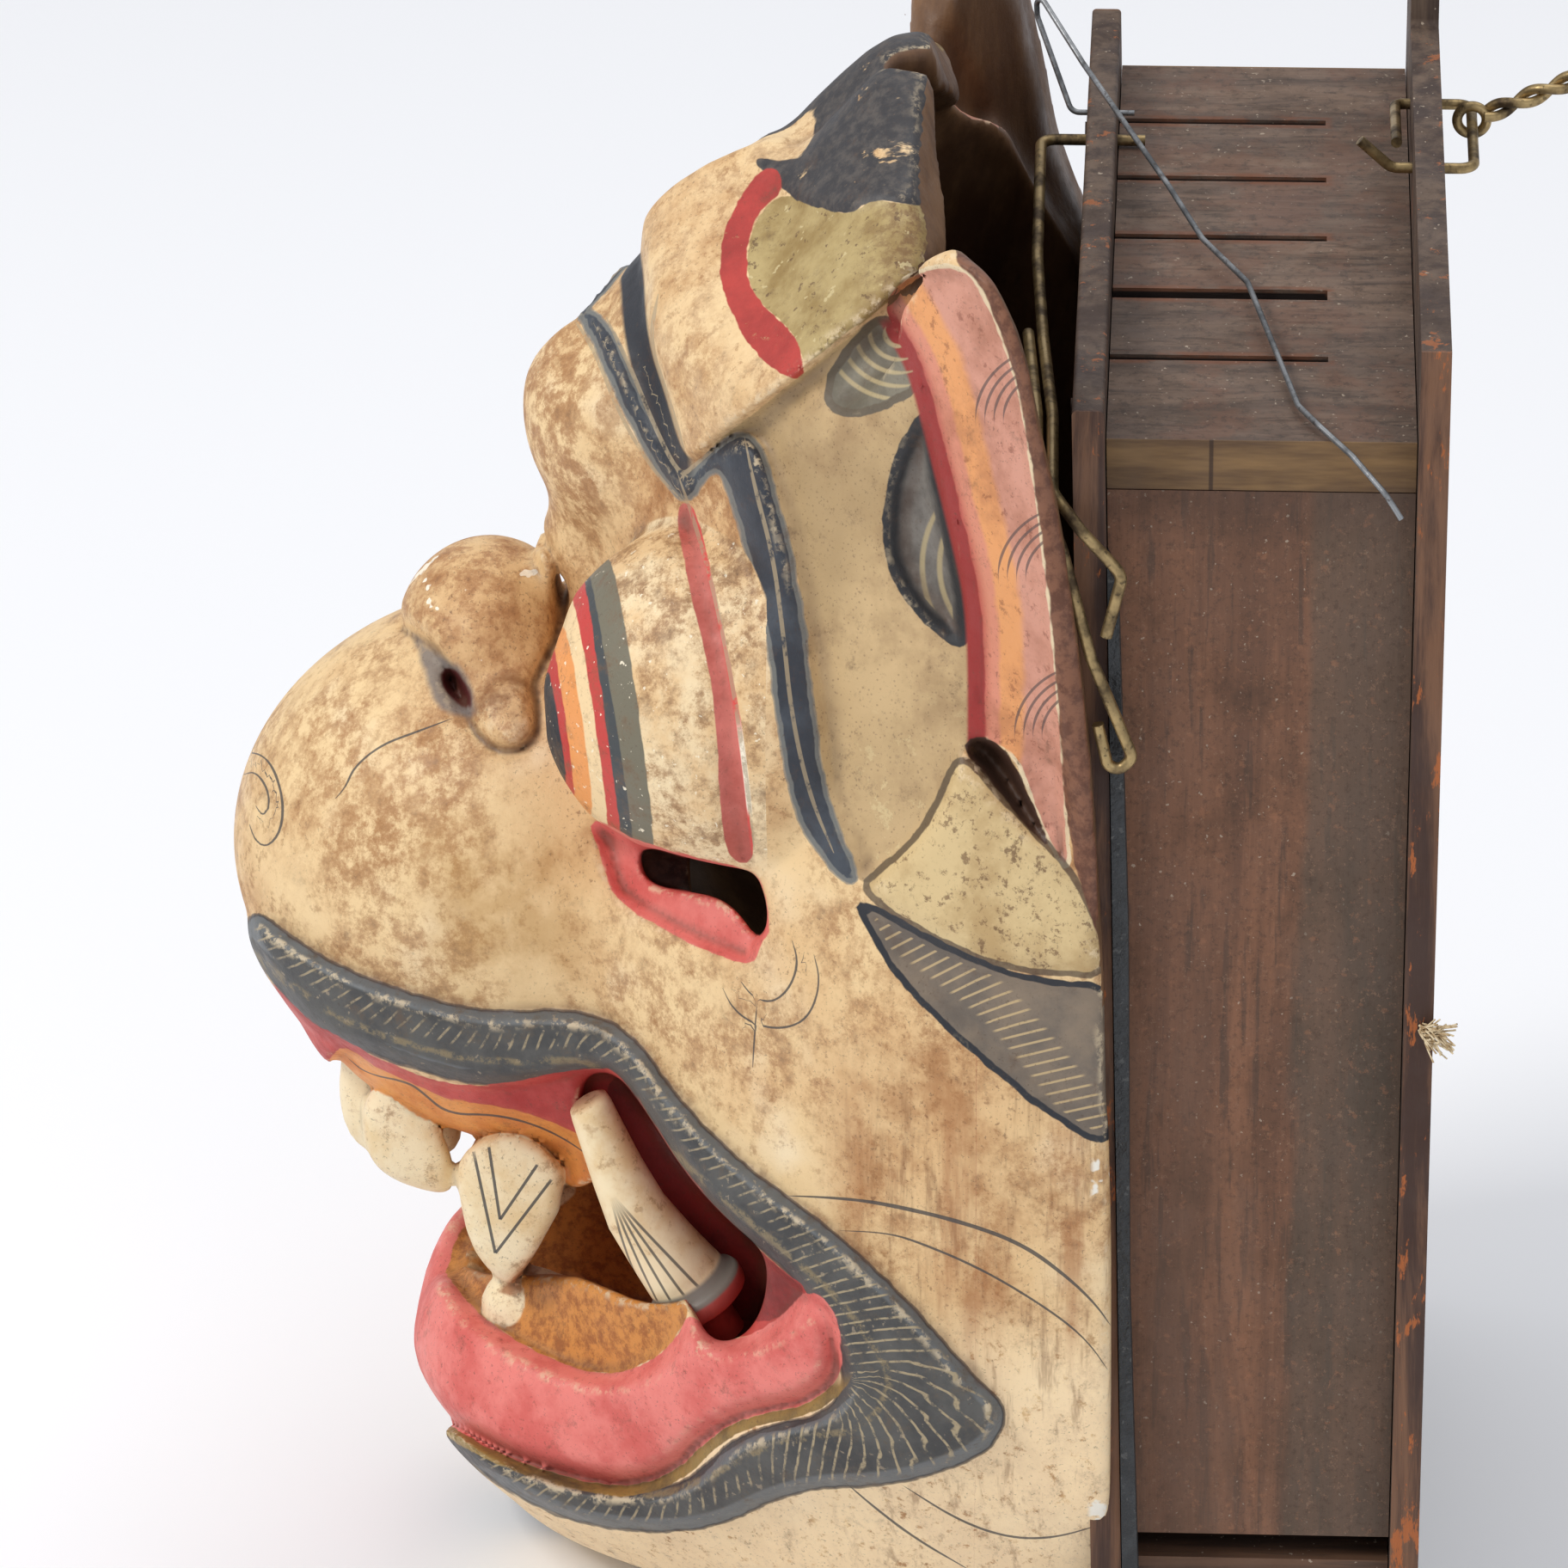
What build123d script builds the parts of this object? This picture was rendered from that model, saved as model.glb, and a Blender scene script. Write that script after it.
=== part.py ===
"""Carved demon-monkey mask mounted on a shallow wooden box, with tie wires and a hanger.

Millimetres. +Z is up, the face looks towards -Y and the mask's own left is +X.
The origin is on the back face of the rear board, on the middle plane, level with
the underside of the side panels.
"""
from build123d import *
from math import cos, radians, sin
import os

os.makedirs("parts", exist_ok=True)

# ---- driving dimensions -------------------------------------------------
BOX_W = 162.4            # box width across the side panels
BOX_H = 207.2            # underside of the side panels to the top of the box
DEPTH_TOP = 50.9         # side panel depth at the top
DEPTH_BOTTOM = 46.3      # side panel depth at the bottom
REAR_T = 4.9             # rear board thickness
FRONT_T = 5.2            # front board thickness
SIDE_T = 6.0             # side panel thickness
TOP_T = 8.8              # top and bottom board thickness
GAP = 0.2                # clearance between boards
FRONT_HALF_W = 88.2      # half width of the front board
FRONT_TOP = 215.2        # top edge of the front board
FRONT_BOTTOM = -14.0     # lower edge of the front board
REAR_HALF_W = 87.2       # half width of the rear board
REAR_TOP = 226.0         # top edge of the rear board
REAR_TAB_TOP = 241.0     # top of the raised end of the rear board
REAR_TAB_X = -55.0       # where the raised end starts
REAR_BOTTOM = -20.0      # lower edge of the rear board
BOTTOM_GAP = 4.8         # open gap between side panels and bottom board
KERF_END_Y = -19.4       # rear end of the saw cuts
KERFS = [(47.9, 2.2), (21.1, 4.2), (-3.2, 2.2), (-29.2, 2.2), (-55.2, 2.2)]
NAIL_R = 0.9             # nail shank radius
NAIL_HEAD_R = 2.0        # nail head radius
NAIL_L = 18.0            # nail length
NAIL_X = 60.0            # nails either side of the middle
BRASS_R = 1.0            # brass wire radius
STEEL_R = 0.5            # steel wire radius
HANGER_Z = 216.0         # height of the hanger holes
HANGER_XA = -14.0        # hanger hole nearest the middle
HANGER_XB = -43.0        # far hanger hole
HANGER_OUT = 5.7         # hanger bar's distance behind the rear board
EYE_X = 43.0             # eye centre from the middle plane
EYE_Z = 141.0            # eye centre height
TUSK_X = 45.0            # tusk centre from the middle plane
SLIT_X = 53.0            # eye slit centre from the middle plane
SLIT_Z = 103.0           # eye slit height
SLIT_W = 22.0            # eye slit width
SLIT_H = 7.0             # eye slit opening

HALF_W = BOX_W / 2
SLOPE = (DEPTH_TOP - DEPTH_BOTTOM) / BOX_H


def front_rear_face(z):
    """Y of the front board's rear face at height z."""
    return -(REAR_T + DEPTH_BOTTOM + SLOPE * z)


def superellipse(half_width, back_y, front_y, power, count=7):
    """Points of half a superellipse bulging to -Y, from -X round to +X."""
    points = []
    for i in range(-count, count + 1):
        t = radians(90) * i / count
        s = abs(sin(t)) ** (2 / power)
        c = abs(cos(t)) ** (2 / power) if abs(i) < count else 0
        x = half_width * s * (1 if i > 0 else -1)
        points.append((x, back_y - (back_y - front_y) * c))
    return points


# ---- box boards ---------------------------------------------------------
with BuildPart() as rear_board:
    with BuildSketch(Plane.XZ):
        with BuildLine():
            Polyline(
                (-REAR_HALF_W, REAR_BOTTOM),
                (REAR_HALF_W, REAR_BOTTOM),
                (REAR_HALF_W, REAR_TOP),
                (REAR_TAB_X, REAR_TOP),
                (REAR_TAB_X, REAR_TAB_TOP),
                (-REAR_HALF_W, REAR_TAB_TOP),
                close=True,
            )
        make_face()
    extrude(amount=REAR_T)
    shoulder = rear_board.edges().filter_by(Axis.Y).sort_by(Axis.Z)[-3:]
    fillet(shoulder, radius=1.2)
    for hole_x in (HANGER_XA, HANGER_XB):
        with Locations(Location((hole_x, -REAR_T / 2, HANGER_Z), (90, 0, 0))):
            Cylinder(BRASS_R + 0.35, REAR_T * 2, mode=Mode.SUBTRACT)
    for nail_z in (BOX_H - TOP_T / 2, -BOTTOM_GAP - TOP_T / 2):
        for nail_x in (-NAIL_X, NAIL_X):
            with Locations(Location((nail_x, -REAR_T / 2, nail_z), (90, 0, 0))):
                Cylinder(NAIL_R + 0.05, REAR_T * 2, mode=Mode.SUBTRACT)
            with Locations(Location((nail_x, 0, nail_z), (90, 0, 0))):
                Cylinder(NAIL_HEAD_R + 0.05, 1.5, mode=Mode.SUBTRACT)

with BuildPart() as front_board:
    with BuildSketch(Plane.YZ):
        with BuildLine():
            Polyline(
                (front_rear_face(FRONT_BOTTOM), FRONT_BOTTOM),
                (front_rear_face(FRONT_TOP), FRONT_TOP),
                (front_rear_face(FRONT_TOP) - FRONT_T, FRONT_TOP),
                (front_rear_face(FRONT_BOTTOM) - FRONT_T, FRONT_BOTTOM),
                close=True,
            )
        make_face()
    extrude(amount=FRONT_HALF_W, both=True)
    fillet(front_board.edges().filter_by(Axis.X).group_by(Axis.Z)[-1], radius=0.8)
    for nail_z in (BOX_H - TOP_T / 2, -BOTTOM_GAP - TOP_T / 2):
        for nail_x in (-NAIL_X, NAIL_X):
            with Locations(Location((nail_x, front_rear_face(nail_z), nail_z), (90, 0, 0))):
                Cylinder(NAIL_R + 0.05, FRONT_T * 3, mode=Mode.SUBTRACT)
    with Locations(Location((-43, front_rear_face(209), 208.5), (90, 0, 0))):
        Cylinder(BRASS_R + 0.3, FRONT_T * 3, mode=Mode.SUBTRACT)
    with Locations(Location((-49, front_rear_face(211), 211.2), (90, 0, 0))):
        Cylinder(STEEL_R + 0.3, FRONT_T * 3, mode=Mode.SUBTRACT)

side_panels = {}
for side_name, sign in (("side_panel_left", 1), ("side_panel_right", -1)):
    panel_top = BOX_H - TOP_T - GAP
    with BuildPart() as side_panel:
        with BuildSketch(Plane.YZ.offset(sign * (HALF_W - SIDE_T / 2))):
            with BuildLine():
                Polyline(
                    (-REAR_T - GAP, 0),
                    (-REAR_T - GAP, panel_top),
                    (front_rear_face(panel_top) + GAP, panel_top),
                    (front_rear_face(0) + GAP, 0),
                    close=True,
                )
            make_face()
        extrude(amount=SIDE_T / 2, both=True)
    side_panel.part.label = side_name
    side_panels[side_name] = side_panel.part

with BuildPart() as top_board:
    with BuildSketch(Plane.YZ):
        with BuildLine():
            Polyline(
                (-REAR_T - GAP, BOX_H - TOP_T),
                (-REAR_T - GAP, BOX_H),
                (front_rear_face(BOX_H) + GAP, BOX_H),
                (front_rear_face(BOX_H - TOP_T) + GAP, BOX_H - TOP_T),
                close=True,
            )
        make_face()
    extrude(amount=HALF_W, both=True)
    for kerf_x, kerf_w in KERFS:
        kerf_l = KERF_END_Y - front_rear_face(BOX_H)
        with Locations((kerf_x, KERF_END_Y - kerf_l, BOX_H - TOP_T / 2)):
            Box(kerf_w, 2 * kerf_l, 2 * TOP_T, mode=Mode.SUBTRACT)
    for nail_x in (-NAIL_X, NAIL_X):
        with Locations(Location((nail_x, -REAR_T, BOX_H - TOP_T / 2), (90, 0, 0))):
            Cylinder(NAIL_R + 0.05, 2 * (NAIL_L - REAR_T + 1), mode=Mode.SUBTRACT)
        with Locations(Location((nail_x, front_rear_face(BOX_H), BOX_H - TOP_T / 2), (90, 0, 0))):
            Cylinder(NAIL_R + 0.05, 2 * (NAIL_L - FRONT_T + 1), mode=Mode.SUBTRACT)

with BuildPart() as bottom_board:
    base_top = -BOTTOM_GAP
    with BuildSketch(Plane.YZ):
        with BuildLine():
            Polyline(
                (-REAR_T - GAP, base_top - TOP_T),
                (-REAR_T - GAP, base_top),
                (front_rear_face(base_top) + GAP, base_top),
                (front_rear_face(base_top - TOP_T) + GAP, base_top - TOP_T),
                close=True,
            )
        make_face()
    extrude(amount=HALF_W, both=True)
    for nail_x in (-NAIL_X, NAIL_X):
        with Locations(Location((nail_x, -REAR_T, base_top - TOP_T / 2), (90, 0, 0))):
            Cylinder(NAIL_R + 0.05, 2 * (NAIL_L - REAR_T + 1), mode=Mode.SUBTRACT)
        with Locations(Location((nail_x, front_rear_face(base_top), base_top - TOP_T / 2), (90, 0, 0))):
            Cylinder(NAIL_R + 0.05, 2 * (NAIL_L - FRONT_T + 1), mode=Mode.SUBTRACT)

# ---- nails --------------------------------------------------------------
NAIL_ROWS = (BOX_H - TOP_T / 2, -BOTTOM_GAP - TOP_T / 2)

with BuildPart() as rear_nails:
    for nail_z in NAIL_ROWS:
        for nail_x in (-NAIL_X, NAIL_X):
            with BuildSketch(Plane(origin=(nail_x, -0.3, nail_z), z_dir=(0, -1, 0))):
                Circle(NAIL_R)
            extrude(amount=NAIL_L)
            with BuildSketch(Plane(origin=(nail_x, 0, nail_z), z_dir=(0, -1, 0))):
                Circle(NAIL_HEAD_R)
            extrude(amount=0.7)

with BuildPart() as front_nails:
    for nail_z in NAIL_ROWS:
        face_y = front_rear_face(nail_z) - FRONT_T
        for nail_x in (-NAIL_X, NAIL_X):
            with BuildSketch(Plane(origin=(nail_x, face_y - 0.5, nail_z), z_dir=(0, 1, 0))):
                Circle(NAIL_R)
            extrude(amount=NAIL_L)
            with BuildSketch(Plane(origin=(nail_x, face_y - 0.9, nail_z), z_dir=(0, 1, 0))):
                Circle(NAIL_HEAD_R)
            extrude(amount=0.7)

# ---- carved mask --------------------------------------------------------
# height, half width, rear plane, front line of the carved head
HEAD = [
    (-47, 34, -84, -146),
    (-38, 56, -70, -163),
    (-20, 76, -50, -172),
    (10, 91, -46, -172),
    (55, 96, -46, -166),
    (100, 96, -46, -165),
    (140, 90, -46, -150),
    (172, 84, -60, -142),
    (200, 75, -73, -141),
    (217, 62, -80, -134),
    (230, 42, -85, -112),
    (240, 16, -86.5, -97),
]
# height, half width, front line of the hollow behind the face
HOLLOW = [
    (-30, 44, -112),
    (-20, 64, -116),
    (0, 76, -104),
    (30, 84, -99),
    (62, 87, -101),
    (84, 87, -146),
    (112, 86, -148),
    (140, 80, -134),
    (170, 74, -126),
    (200, 62, -124),
    (216, 46, -114),
    (228, 24, -101),
]
BROW = [(14, -134, 176), (34, -124, 184), (56, -112, 174), (66, -103, 146), (70, -95, 122)]
UPPER_LIP = [(-70, -82, 26), (-58, -108, 50), (-48, -132, 62), (-27, -178, 70), (0, -203, 78),
             (27, -178, 70), (48, -132, 62), (58, -108, 50), (70, -82, 26)]
LOWER_LIP = [(-54, -108, 34), (-45, -134, 14), (-24, -160, 8), (0, -169, 7),
             (24, -160, 8), (45, -134, 14), (54, -108, 34)]
EAR_HOLLOW = [(-91, 205), (-84, 212), (-80, 190), (-77, 160), (-76, 130), (-84, 122), (-91, 150)]
EAR = [
    (-90, 220), (-86, 229), (-79, 234), (-73, 226), (-70, 205), (-66.5, 187),
    (-62, 160), (-56.5, 138), (-55, 112), (-72, 105), (-90, 112), (-99, 133),
    (-100, 165), (-97, 200),
]


def tusk_seat(side):
    """Where a tusk's collar sits on the lower jaw."""
    return Location((side * TUSK_X, -125.2, 23.2), (30, 0, 0))


def ridge(route, radius):
    """Add a carved half-round ridge along a smooth route."""
    with BuildLine(mode=Mode.PRIVATE) as line:
        centre_line = Spline(*route)
    with BuildSketch(Plane(origin=centre_line @ 0, z_dir=centre_line % 0), mode=Mode.PRIVATE) as ring:
        Circle(radius)
    add(sweep(ring.sketch, path=centre_line, mode=Mode.PRIVATE))


def spheroid(centre, length, radius, mode=Mode.ADD):
    """Combine a spheroid whose long axis is Y with the current part."""
    with BuildSketch(Plane.XY, mode=Mode.PRIVATE) as half:
        Ellipse(radius, length)
        with Locations((-radius, 0)):
            Rectangle(2 * radius, 2 * length, mode=Mode.SUBTRACT)
    body = revolve(half.sketch, axis=Axis.Y, mode=Mode.PRIVATE)
    add(body.moved(Location(centre)), mode=mode)


with BuildPart() as hollow:
    for z, half_w, front_y in HOLLOW:
        with BuildSketch(Plane.XY.offset(z)):
            with BuildLine():
                outline = superellipse(half_w, -40, front_y, 2.0)
                Spline(*outline)
                Line(outline[-1], outline[0])
            make_face()
    loft(ruled=True)

with BuildPart() as mask_shell:
    for z, half_w, back_y, front_y in HEAD:
        with BuildSketch(Plane.XY.offset(z)):
            with BuildLine():
                outline = superellipse(half_w, back_y, front_y, 1.7)
                Spline(*outline)
                Line(outline[-1], outline[0])
            make_face()
    loft(ruled=True)
    # forehead boss, muzzle, lower lip, nose and its wings
    spheroid((0, -128, 178), 30, 25)
    spheroid((0, -155, 91), 56, 44)
    spheroid((0, -140, -6), 37.5, 25)
    spheroid((0, -160, 126), 19, 15)
    for sign in (-1, 1):
        spheroid((sign * 17, -157, 121), 11, 10)
        spheroid((sign * EYE_X, -112, EYE_Z), 39, 30)
        with BuildSketch(Plane.YZ.offset(sign * 83)):
            with BuildLine():
                Spline(*EAR, periodic=True)
            make_face()
        extrude(amount=9.5, both=True)
        # carved hollow of the ear, eyelid and eyebrow
        with BuildSketch(Plane.YZ.offset(sign * 93)):
            with BuildLine():
                Spline(*EAR_HOLLOW, periodic=True)
            make_face()
        extrude(amount=-sign * 4.5, mode=Mode.SUBTRACT)
        with Locations(Location((sign * EYE_X, -116, EYE_Z), (90, 0, 0))):
            Torus(29.5, 3.2)
        ridge([(sign * x, y, z) for x, y, z in BROW], 4.2)
    # mouth between the muzzle and the lower lip
    with BuildSketch(Plane.YZ):
        with BuildLine():
            Polyline(
                (-225, 78), (-207, 77), (-174, 66), (-145, 60), (-124, 53), (-110, 40),
                (-124, 25), (-145, 16), (-225, 14),
                close=True,
            )
        make_face()
    extrude(amount=58, both=True, mode=Mode.SUBTRACT)
    # hollow behind the face
    add(hollow.part, mode=Mode.SUBTRACT)
    spheroid((0, -140, 96), 52, 26, Mode.SUBTRACT)
    # rear of the rim, cut parallel to the front board
    with BuildSketch(Plane.YZ):
        with BuildLine():
            Polyline(
                (front_rear_face(-60) - 1.2, -60),
                (front_rear_face(260) - 1.2, 260),
                (-20, 260),
                (-20, -60),
                close=True,
            )
        make_face()
    extrude(amount=120, both=True, mode=Mode.SUBTRACT)
    # seat for the front board
    with BuildSketch(Plane.YZ):
        with BuildLine():
            Polyline(
                (front_rear_face(FRONT_BOTTOM) - FRONT_T - 0.4, FRONT_BOTTOM - 0.4),
                (front_rear_face(FRONT_TOP) - FRONT_T - 0.4, FRONT_TOP + 10),
                (-20, FRONT_TOP + 10),
                (-20, FRONT_BOTTOM - 0.4),
                close=True,
            )
        make_face()
    extrude(amount=FRONT_HALF_W + 0.4, both=True, mode=Mode.SUBTRACT)
    # eye slits and nostrils
    for sign in (-1, 1):
        with Locations((sign * SLIT_X, -125, SLIT_Z)):
            Box(SLIT_W, 60, SLIT_H, mode=Mode.SUBTRACT)
        with Locations(Location((sign * 14, -170, 121), (70, 0, 0))):
            Cylinder(3.4, 20, mode=Mode.SUBTRACT)
    # lips
    ridge(UPPER_LIP, 5.0)
    ridge(LOWER_LIP, 7.0)
    # upper teeth
    for sign in (-1, 1):
        with Locations(Location((sign * 7, -180, 50), (-14, 0, 0))):
            Box(12, 8, 40)
        with Locations(Location((sign * 25, -154, 43), (180 + 16, 0, 0))):
            Cone(7.8, 3.2, 54)
    # sockets for the tusks
    for sign in (-1, 1):
        with Locations(tusk_seat(sign)):
            Cylinder(4.15, 8.4, align=(Align.CENTER, Align.CENTER, Align.MAX), mode=Mode.SUBTRACT)
            Cylinder(10.2, 50, align=(Align.CENTER, Align.CENTER, Align.MIN), mode=Mode.SUBTRACT)

# ---- tusks --------------------------------------------------------------
tusks = {}
for tusk_name, sign in (("tusk_left", 1), ("tusk_right", -1)):
    with BuildPart() as tusk:
        with BuildSketch(Plane.XY):
            Circle(9.0)
        extrude(amount=4.5)
        fillet(tusk.edges(), radius=1.6)
        with BuildSketch(Plane.XY.offset(-7.5)):
            Circle(4.0)
        extrude(amount=9)
        with BuildSketch(Plane.XY.offset(3.5)):
            Circle(7.6)
        with BuildSketch(Plane.XY.offset(22)):
            with Locations((0, -1)):
                Circle(7.0)
        with BuildSketch(Plane.XY.offset(41)):
            with Locations((-sign * 1.0, 2)):
                Circle(5.0)
        with BuildSketch(Plane.XY.offset(44.5)):
            with Locations((-sign * 1.2, 2.4)):
                Circle(2.6)
        loft()
    placed = tusk.part.moved(tusk_seat(sign))
    placed.label = tusk_name
    tusks[tusk_name] = placed

# ---- seam filler --------------------------------------------------------
fillers = {}
for filler_name, sign in (("seam_filler_left", 1), ("seam_filler_right", -1)):
    with BuildPart() as seam_filler:
        with BuildSketch(Plane.YZ.offset(sign * (HALF_W + 4.2))):
            with BuildLine():
                Polyline(
                    (front_rear_face(-12) + 0.2, -12),
                    (front_rear_face(188) + 0.2, 188),
                    (front_rear_face(188) + 2.0, 184),
                    (front_rear_face(120) + 2.8, 120),
                    (front_rear_face(50) + 2.2, 50),
                    (front_rear_face(-12) + 3.0, -12),
                    close=True,
                )
            make_face()
        extrude(amount=3.8, both=True)
        fillet(seam_filler.edges().filter_by(Axis.X).group_by(Axis.Y)[-1], radius=0.6)
    seam_filler.part.label = filler_name
    fillers[filler_name] = seam_filler.part


# ---- wires --------------------------------------------------------------
def bent_wire(name, route, bends, radius):
    """Round wire along straight runs joined by tangent arcs."""
    with BuildPart() as wire:
        with BuildLine() as path:
            centre_line = FilletPolyline(*route, radius=bends)
        with BuildSketch(Plane(origin=centre_line @ 0, z_dir=centre_line % 0)):
            Circle(radius)
        sweep(path=centre_line)
    wire.part.label = name
    print(name, "length", round(centre_line.length, 1), "bend radii", bends)
    return wire.part


TIE_A = [
    (-43, -51, 208.5), (-43, -69.2, 208.5), (0, -68.8, 204.5), (32, -67.0, 203),
    (60, -64.8, 201.8), (87.5, -64.2, 200.5), (92.4, -59.5, 196), (92.4, -52.6, 188),
    (92.4, -55.2, 177),
]
TIE_B = [
    (30, -69.6, 203.4), (60, -67.4, 202), (87.5, -66.6, 200.2), (92.4, -62.6, 193),
    (92.4, -57.6, 173), (92.4, -50.6, 155), (92.4, -54.2, 151), (92.4, -56.4, 161),
]
STEEL = [
    (-49, -53, 211.2), (-49, -64, 211.2), (-57, -70.3, 226), (-57.5, -70.6, 231),
    (-47, -62.0, 221.2), (-12, -46.7, 213.1), (6, -40.6, 210.8), (22, -32.9, 209.8),
    (70, -24.4, 208.6), (78, -21.0, 208.6), (86, -15.6, 206.9), (91, -10.2, 202.5),
    (92, -7.6, 198.6),
]
tie_wire_a = bent_wire("tie_wire_a", TIE_A, [2.5, 8, 8, 6, 3, 3, 3], BRASS_R)
tie_wire_b = bent_wire("tie_wire_b", TIE_B, [8, 6, 3, 6, 1.8, 1.8], BRASS_R)
steel_wire = bent_wire(
    "steel_wire", STEEL, [2, 2, 1.4, 2, 5, 3, 3, 4, 3, 3, 3], STEEL_R
)
STAPLE = [
    (HANGER_XA, -14, HANGER_Z + 5), (HANGER_XA, -8.5, HANGER_Z), (HANGER_XA, HANGER_OUT, HANGER_Z),
    (HANGER_XB, HANGER_OUT, HANGER_Z), (HANGER_XB, -7.6, HANGER_Z), (HANGER_XA - 5, -7.6, HANGER_Z + 2.6),
]
hanger_staple = bent_wire("hanger_staple", STAPLE, [3, 2.6, 2.6, 1.8], BRASS_R - 0.05)

# twisted hanger tail, an eye round the staple's bar and two strands
TAIL_ANGLE = 24          # tail's rise above the horizontal at rest
STRAND_R = 0.9
TWIST_R = 1.0
with BuildPart() as strand:
    with BuildLine(Plane.XY.offset(2.4)):
        strand_path = Helix(pitch=13, height=27, radius=TWIST_R)
    with BuildSketch(Plane(origin=strand_path @ 0, z_dir=strand_path % 0)):
        Circle(STRAND_R)
    sweep(path=strand_path, is_frenet=True)
with BuildPart() as hanger_tail:
    Torus(2.55, STRAND_R, rotation=(0, 90, 0))
    add(strand.part)
    add(strand.part.rotate(Axis.Z, 180))
tail = hanger_tail.part.moved(
    Location((-36.0, HANGER_OUT, HANGER_Z), (TAIL_ANGLE - 90, 0, 0))
)
tail.label = "hanger_tail"

# frayed fibre end left behind the rear board
with BuildPart() as fibre_tuft:
    with BuildSketch(Plane(origin=(REAR_HALF_W + 0.1, -1.7, 103), z_dir=(1, 0, 0))):
        Circle(1.2)
    with BuildSketch(Plane(origin=(89, 0.6, 102.6), z_dir=(0.7, 1, -0.3))):
        Ellipse(1.4, 1.3)
    with BuildSketch(Plane(origin=(89.8, 3.4, 101.2), z_dir=(0.3, 1, -0.8))):
        Ellipse(1.2, 0.9)
    loft()

# ---- labels and export --------------------------------------------------
rear_board.part.label = "rear_board"
front_board.part.label = "front_board"
top_board.part.label = "top_board"
bottom_board.part.label = "bottom_board"
rear_nails.part.label = "rear_nails"
front_nails.part.label = "front_nails"
mask_shell.part.label = "mask_shell"
fibre_tuft.part.label = "fibre_tuft"

export_step(rear_board.part, "parts/rear_board.step")
export_step(front_board.part, "parts/front_board.step")
export_step(top_board.part, "parts/top_board.step")
export_step(bottom_board.part, "parts/bottom_board.step")
export_step(rear_nails.part, "parts/rear_nails.step")
export_step(front_nails.part, "parts/front_nails.step")
export_step(mask_shell.part, "parts/mask_shell.step")
export_step(fibre_tuft.part, "parts/fibre_tuft.step")
export_step(tie_wire_a, "parts/tie_wire_a.step")
export_step(tie_wire_b, "parts/tie_wire_b.step")
export_step(steel_wire, "parts/steel_wire.step")
export_step(hanger_staple, "parts/hanger_staple.step")
export_step(tail, "parts/hanger_tail.step")
for group in (side_panels, tusks, fillers):
    for part_name, solid in group.items():
        export_step(solid, "parts/" + part_name + ".step")
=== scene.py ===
"""Carved and painted demon-monkey mask on an old wooden box, with wires and a hanger."""
import math

import bpy
import numpy as np
from mathutils import Matrix, Vector


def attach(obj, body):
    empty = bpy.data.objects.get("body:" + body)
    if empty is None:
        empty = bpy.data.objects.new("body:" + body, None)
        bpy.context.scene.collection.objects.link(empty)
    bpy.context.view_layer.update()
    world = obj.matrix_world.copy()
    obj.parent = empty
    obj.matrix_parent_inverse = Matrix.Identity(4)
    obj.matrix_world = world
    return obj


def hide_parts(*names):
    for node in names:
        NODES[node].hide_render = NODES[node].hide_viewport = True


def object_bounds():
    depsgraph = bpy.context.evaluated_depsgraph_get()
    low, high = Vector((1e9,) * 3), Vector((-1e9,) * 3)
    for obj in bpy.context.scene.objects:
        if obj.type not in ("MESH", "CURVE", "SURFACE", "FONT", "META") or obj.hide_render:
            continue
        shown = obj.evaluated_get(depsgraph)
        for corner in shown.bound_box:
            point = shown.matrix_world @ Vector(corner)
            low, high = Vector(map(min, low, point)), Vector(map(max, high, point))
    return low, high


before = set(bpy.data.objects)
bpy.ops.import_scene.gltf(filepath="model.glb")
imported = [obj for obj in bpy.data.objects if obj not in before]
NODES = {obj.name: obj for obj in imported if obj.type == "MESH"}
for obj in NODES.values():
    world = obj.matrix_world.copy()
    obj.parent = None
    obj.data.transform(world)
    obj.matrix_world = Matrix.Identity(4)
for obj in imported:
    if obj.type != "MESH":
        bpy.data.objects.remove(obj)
CAD_BOX = [[float(c) for c in v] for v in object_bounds()]


# ---- floor, light, camera ----------------------------------------------------
def show(name, data):
    """An object for data, placed in the scene."""
    o = bpy.data.objects.new(name, data)
    bpy.context.scene.collection.objects.link(o)
    return o


def plain(name, colour, rough):
    """One flat colour."""
    m = bpy.data.materials.new(name)
    m.use_nodes = True
    b = m.node_tree.nodes["Principled BSDF"]
    b.inputs["Base Color"].default_value = (*colour, 1)
    b.inputs["Roughness"].default_value = rough
    return m


FLOOR_Z = CAD_BOX[0][2] - 0.0005
bpy.ops.mesh.primitive_plane_add(size=14, location=(0, 0, FLOOR_Z))
floor = bpy.context.object
floor.name = "floor"
floor.data.materials.append(plain("floor_paper", (0.93, 0.935, 0.95), 0.9))

world = bpy.data.worlds.new("studio")
bpy.context.scene.world = world
world.use_nodes = True
world.node_tree.nodes["Background"].inputs[0].default_value = (0.93, 0.95, 1.0, 1)
world.node_tree.nodes["Background"].inputs[1].default_value = 0.6


def lamp(name, place, aim, size, power, colour=(1, 1, 1)):
    d = bpy.data.lights.new(name, "AREA")
    d.size = size
    d.energy = power
    d.color = colour
    o = show(name, d)
    o.location = place
    o.rotation_mode = "QUATERNION"
    o.rotation_quaternion = (Vector(aim) - Vector(place)).to_track_quat("-Z", "Y")
    return o


AIM = (0.03, -0.10, 0.11)
lamp("key", (0.55, -1.15, 1.35), AIM, 0.55, 15, (1.0, 0.985, 0.96))
lamp("fill", (1.5, 0.9, 0.8), AIM, 1.2, 3.5, (0.93, 0.96, 1.0))
lamp("top", (-0.4, 0.2, 1.6), AIM, 1.2, 6.5)

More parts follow.
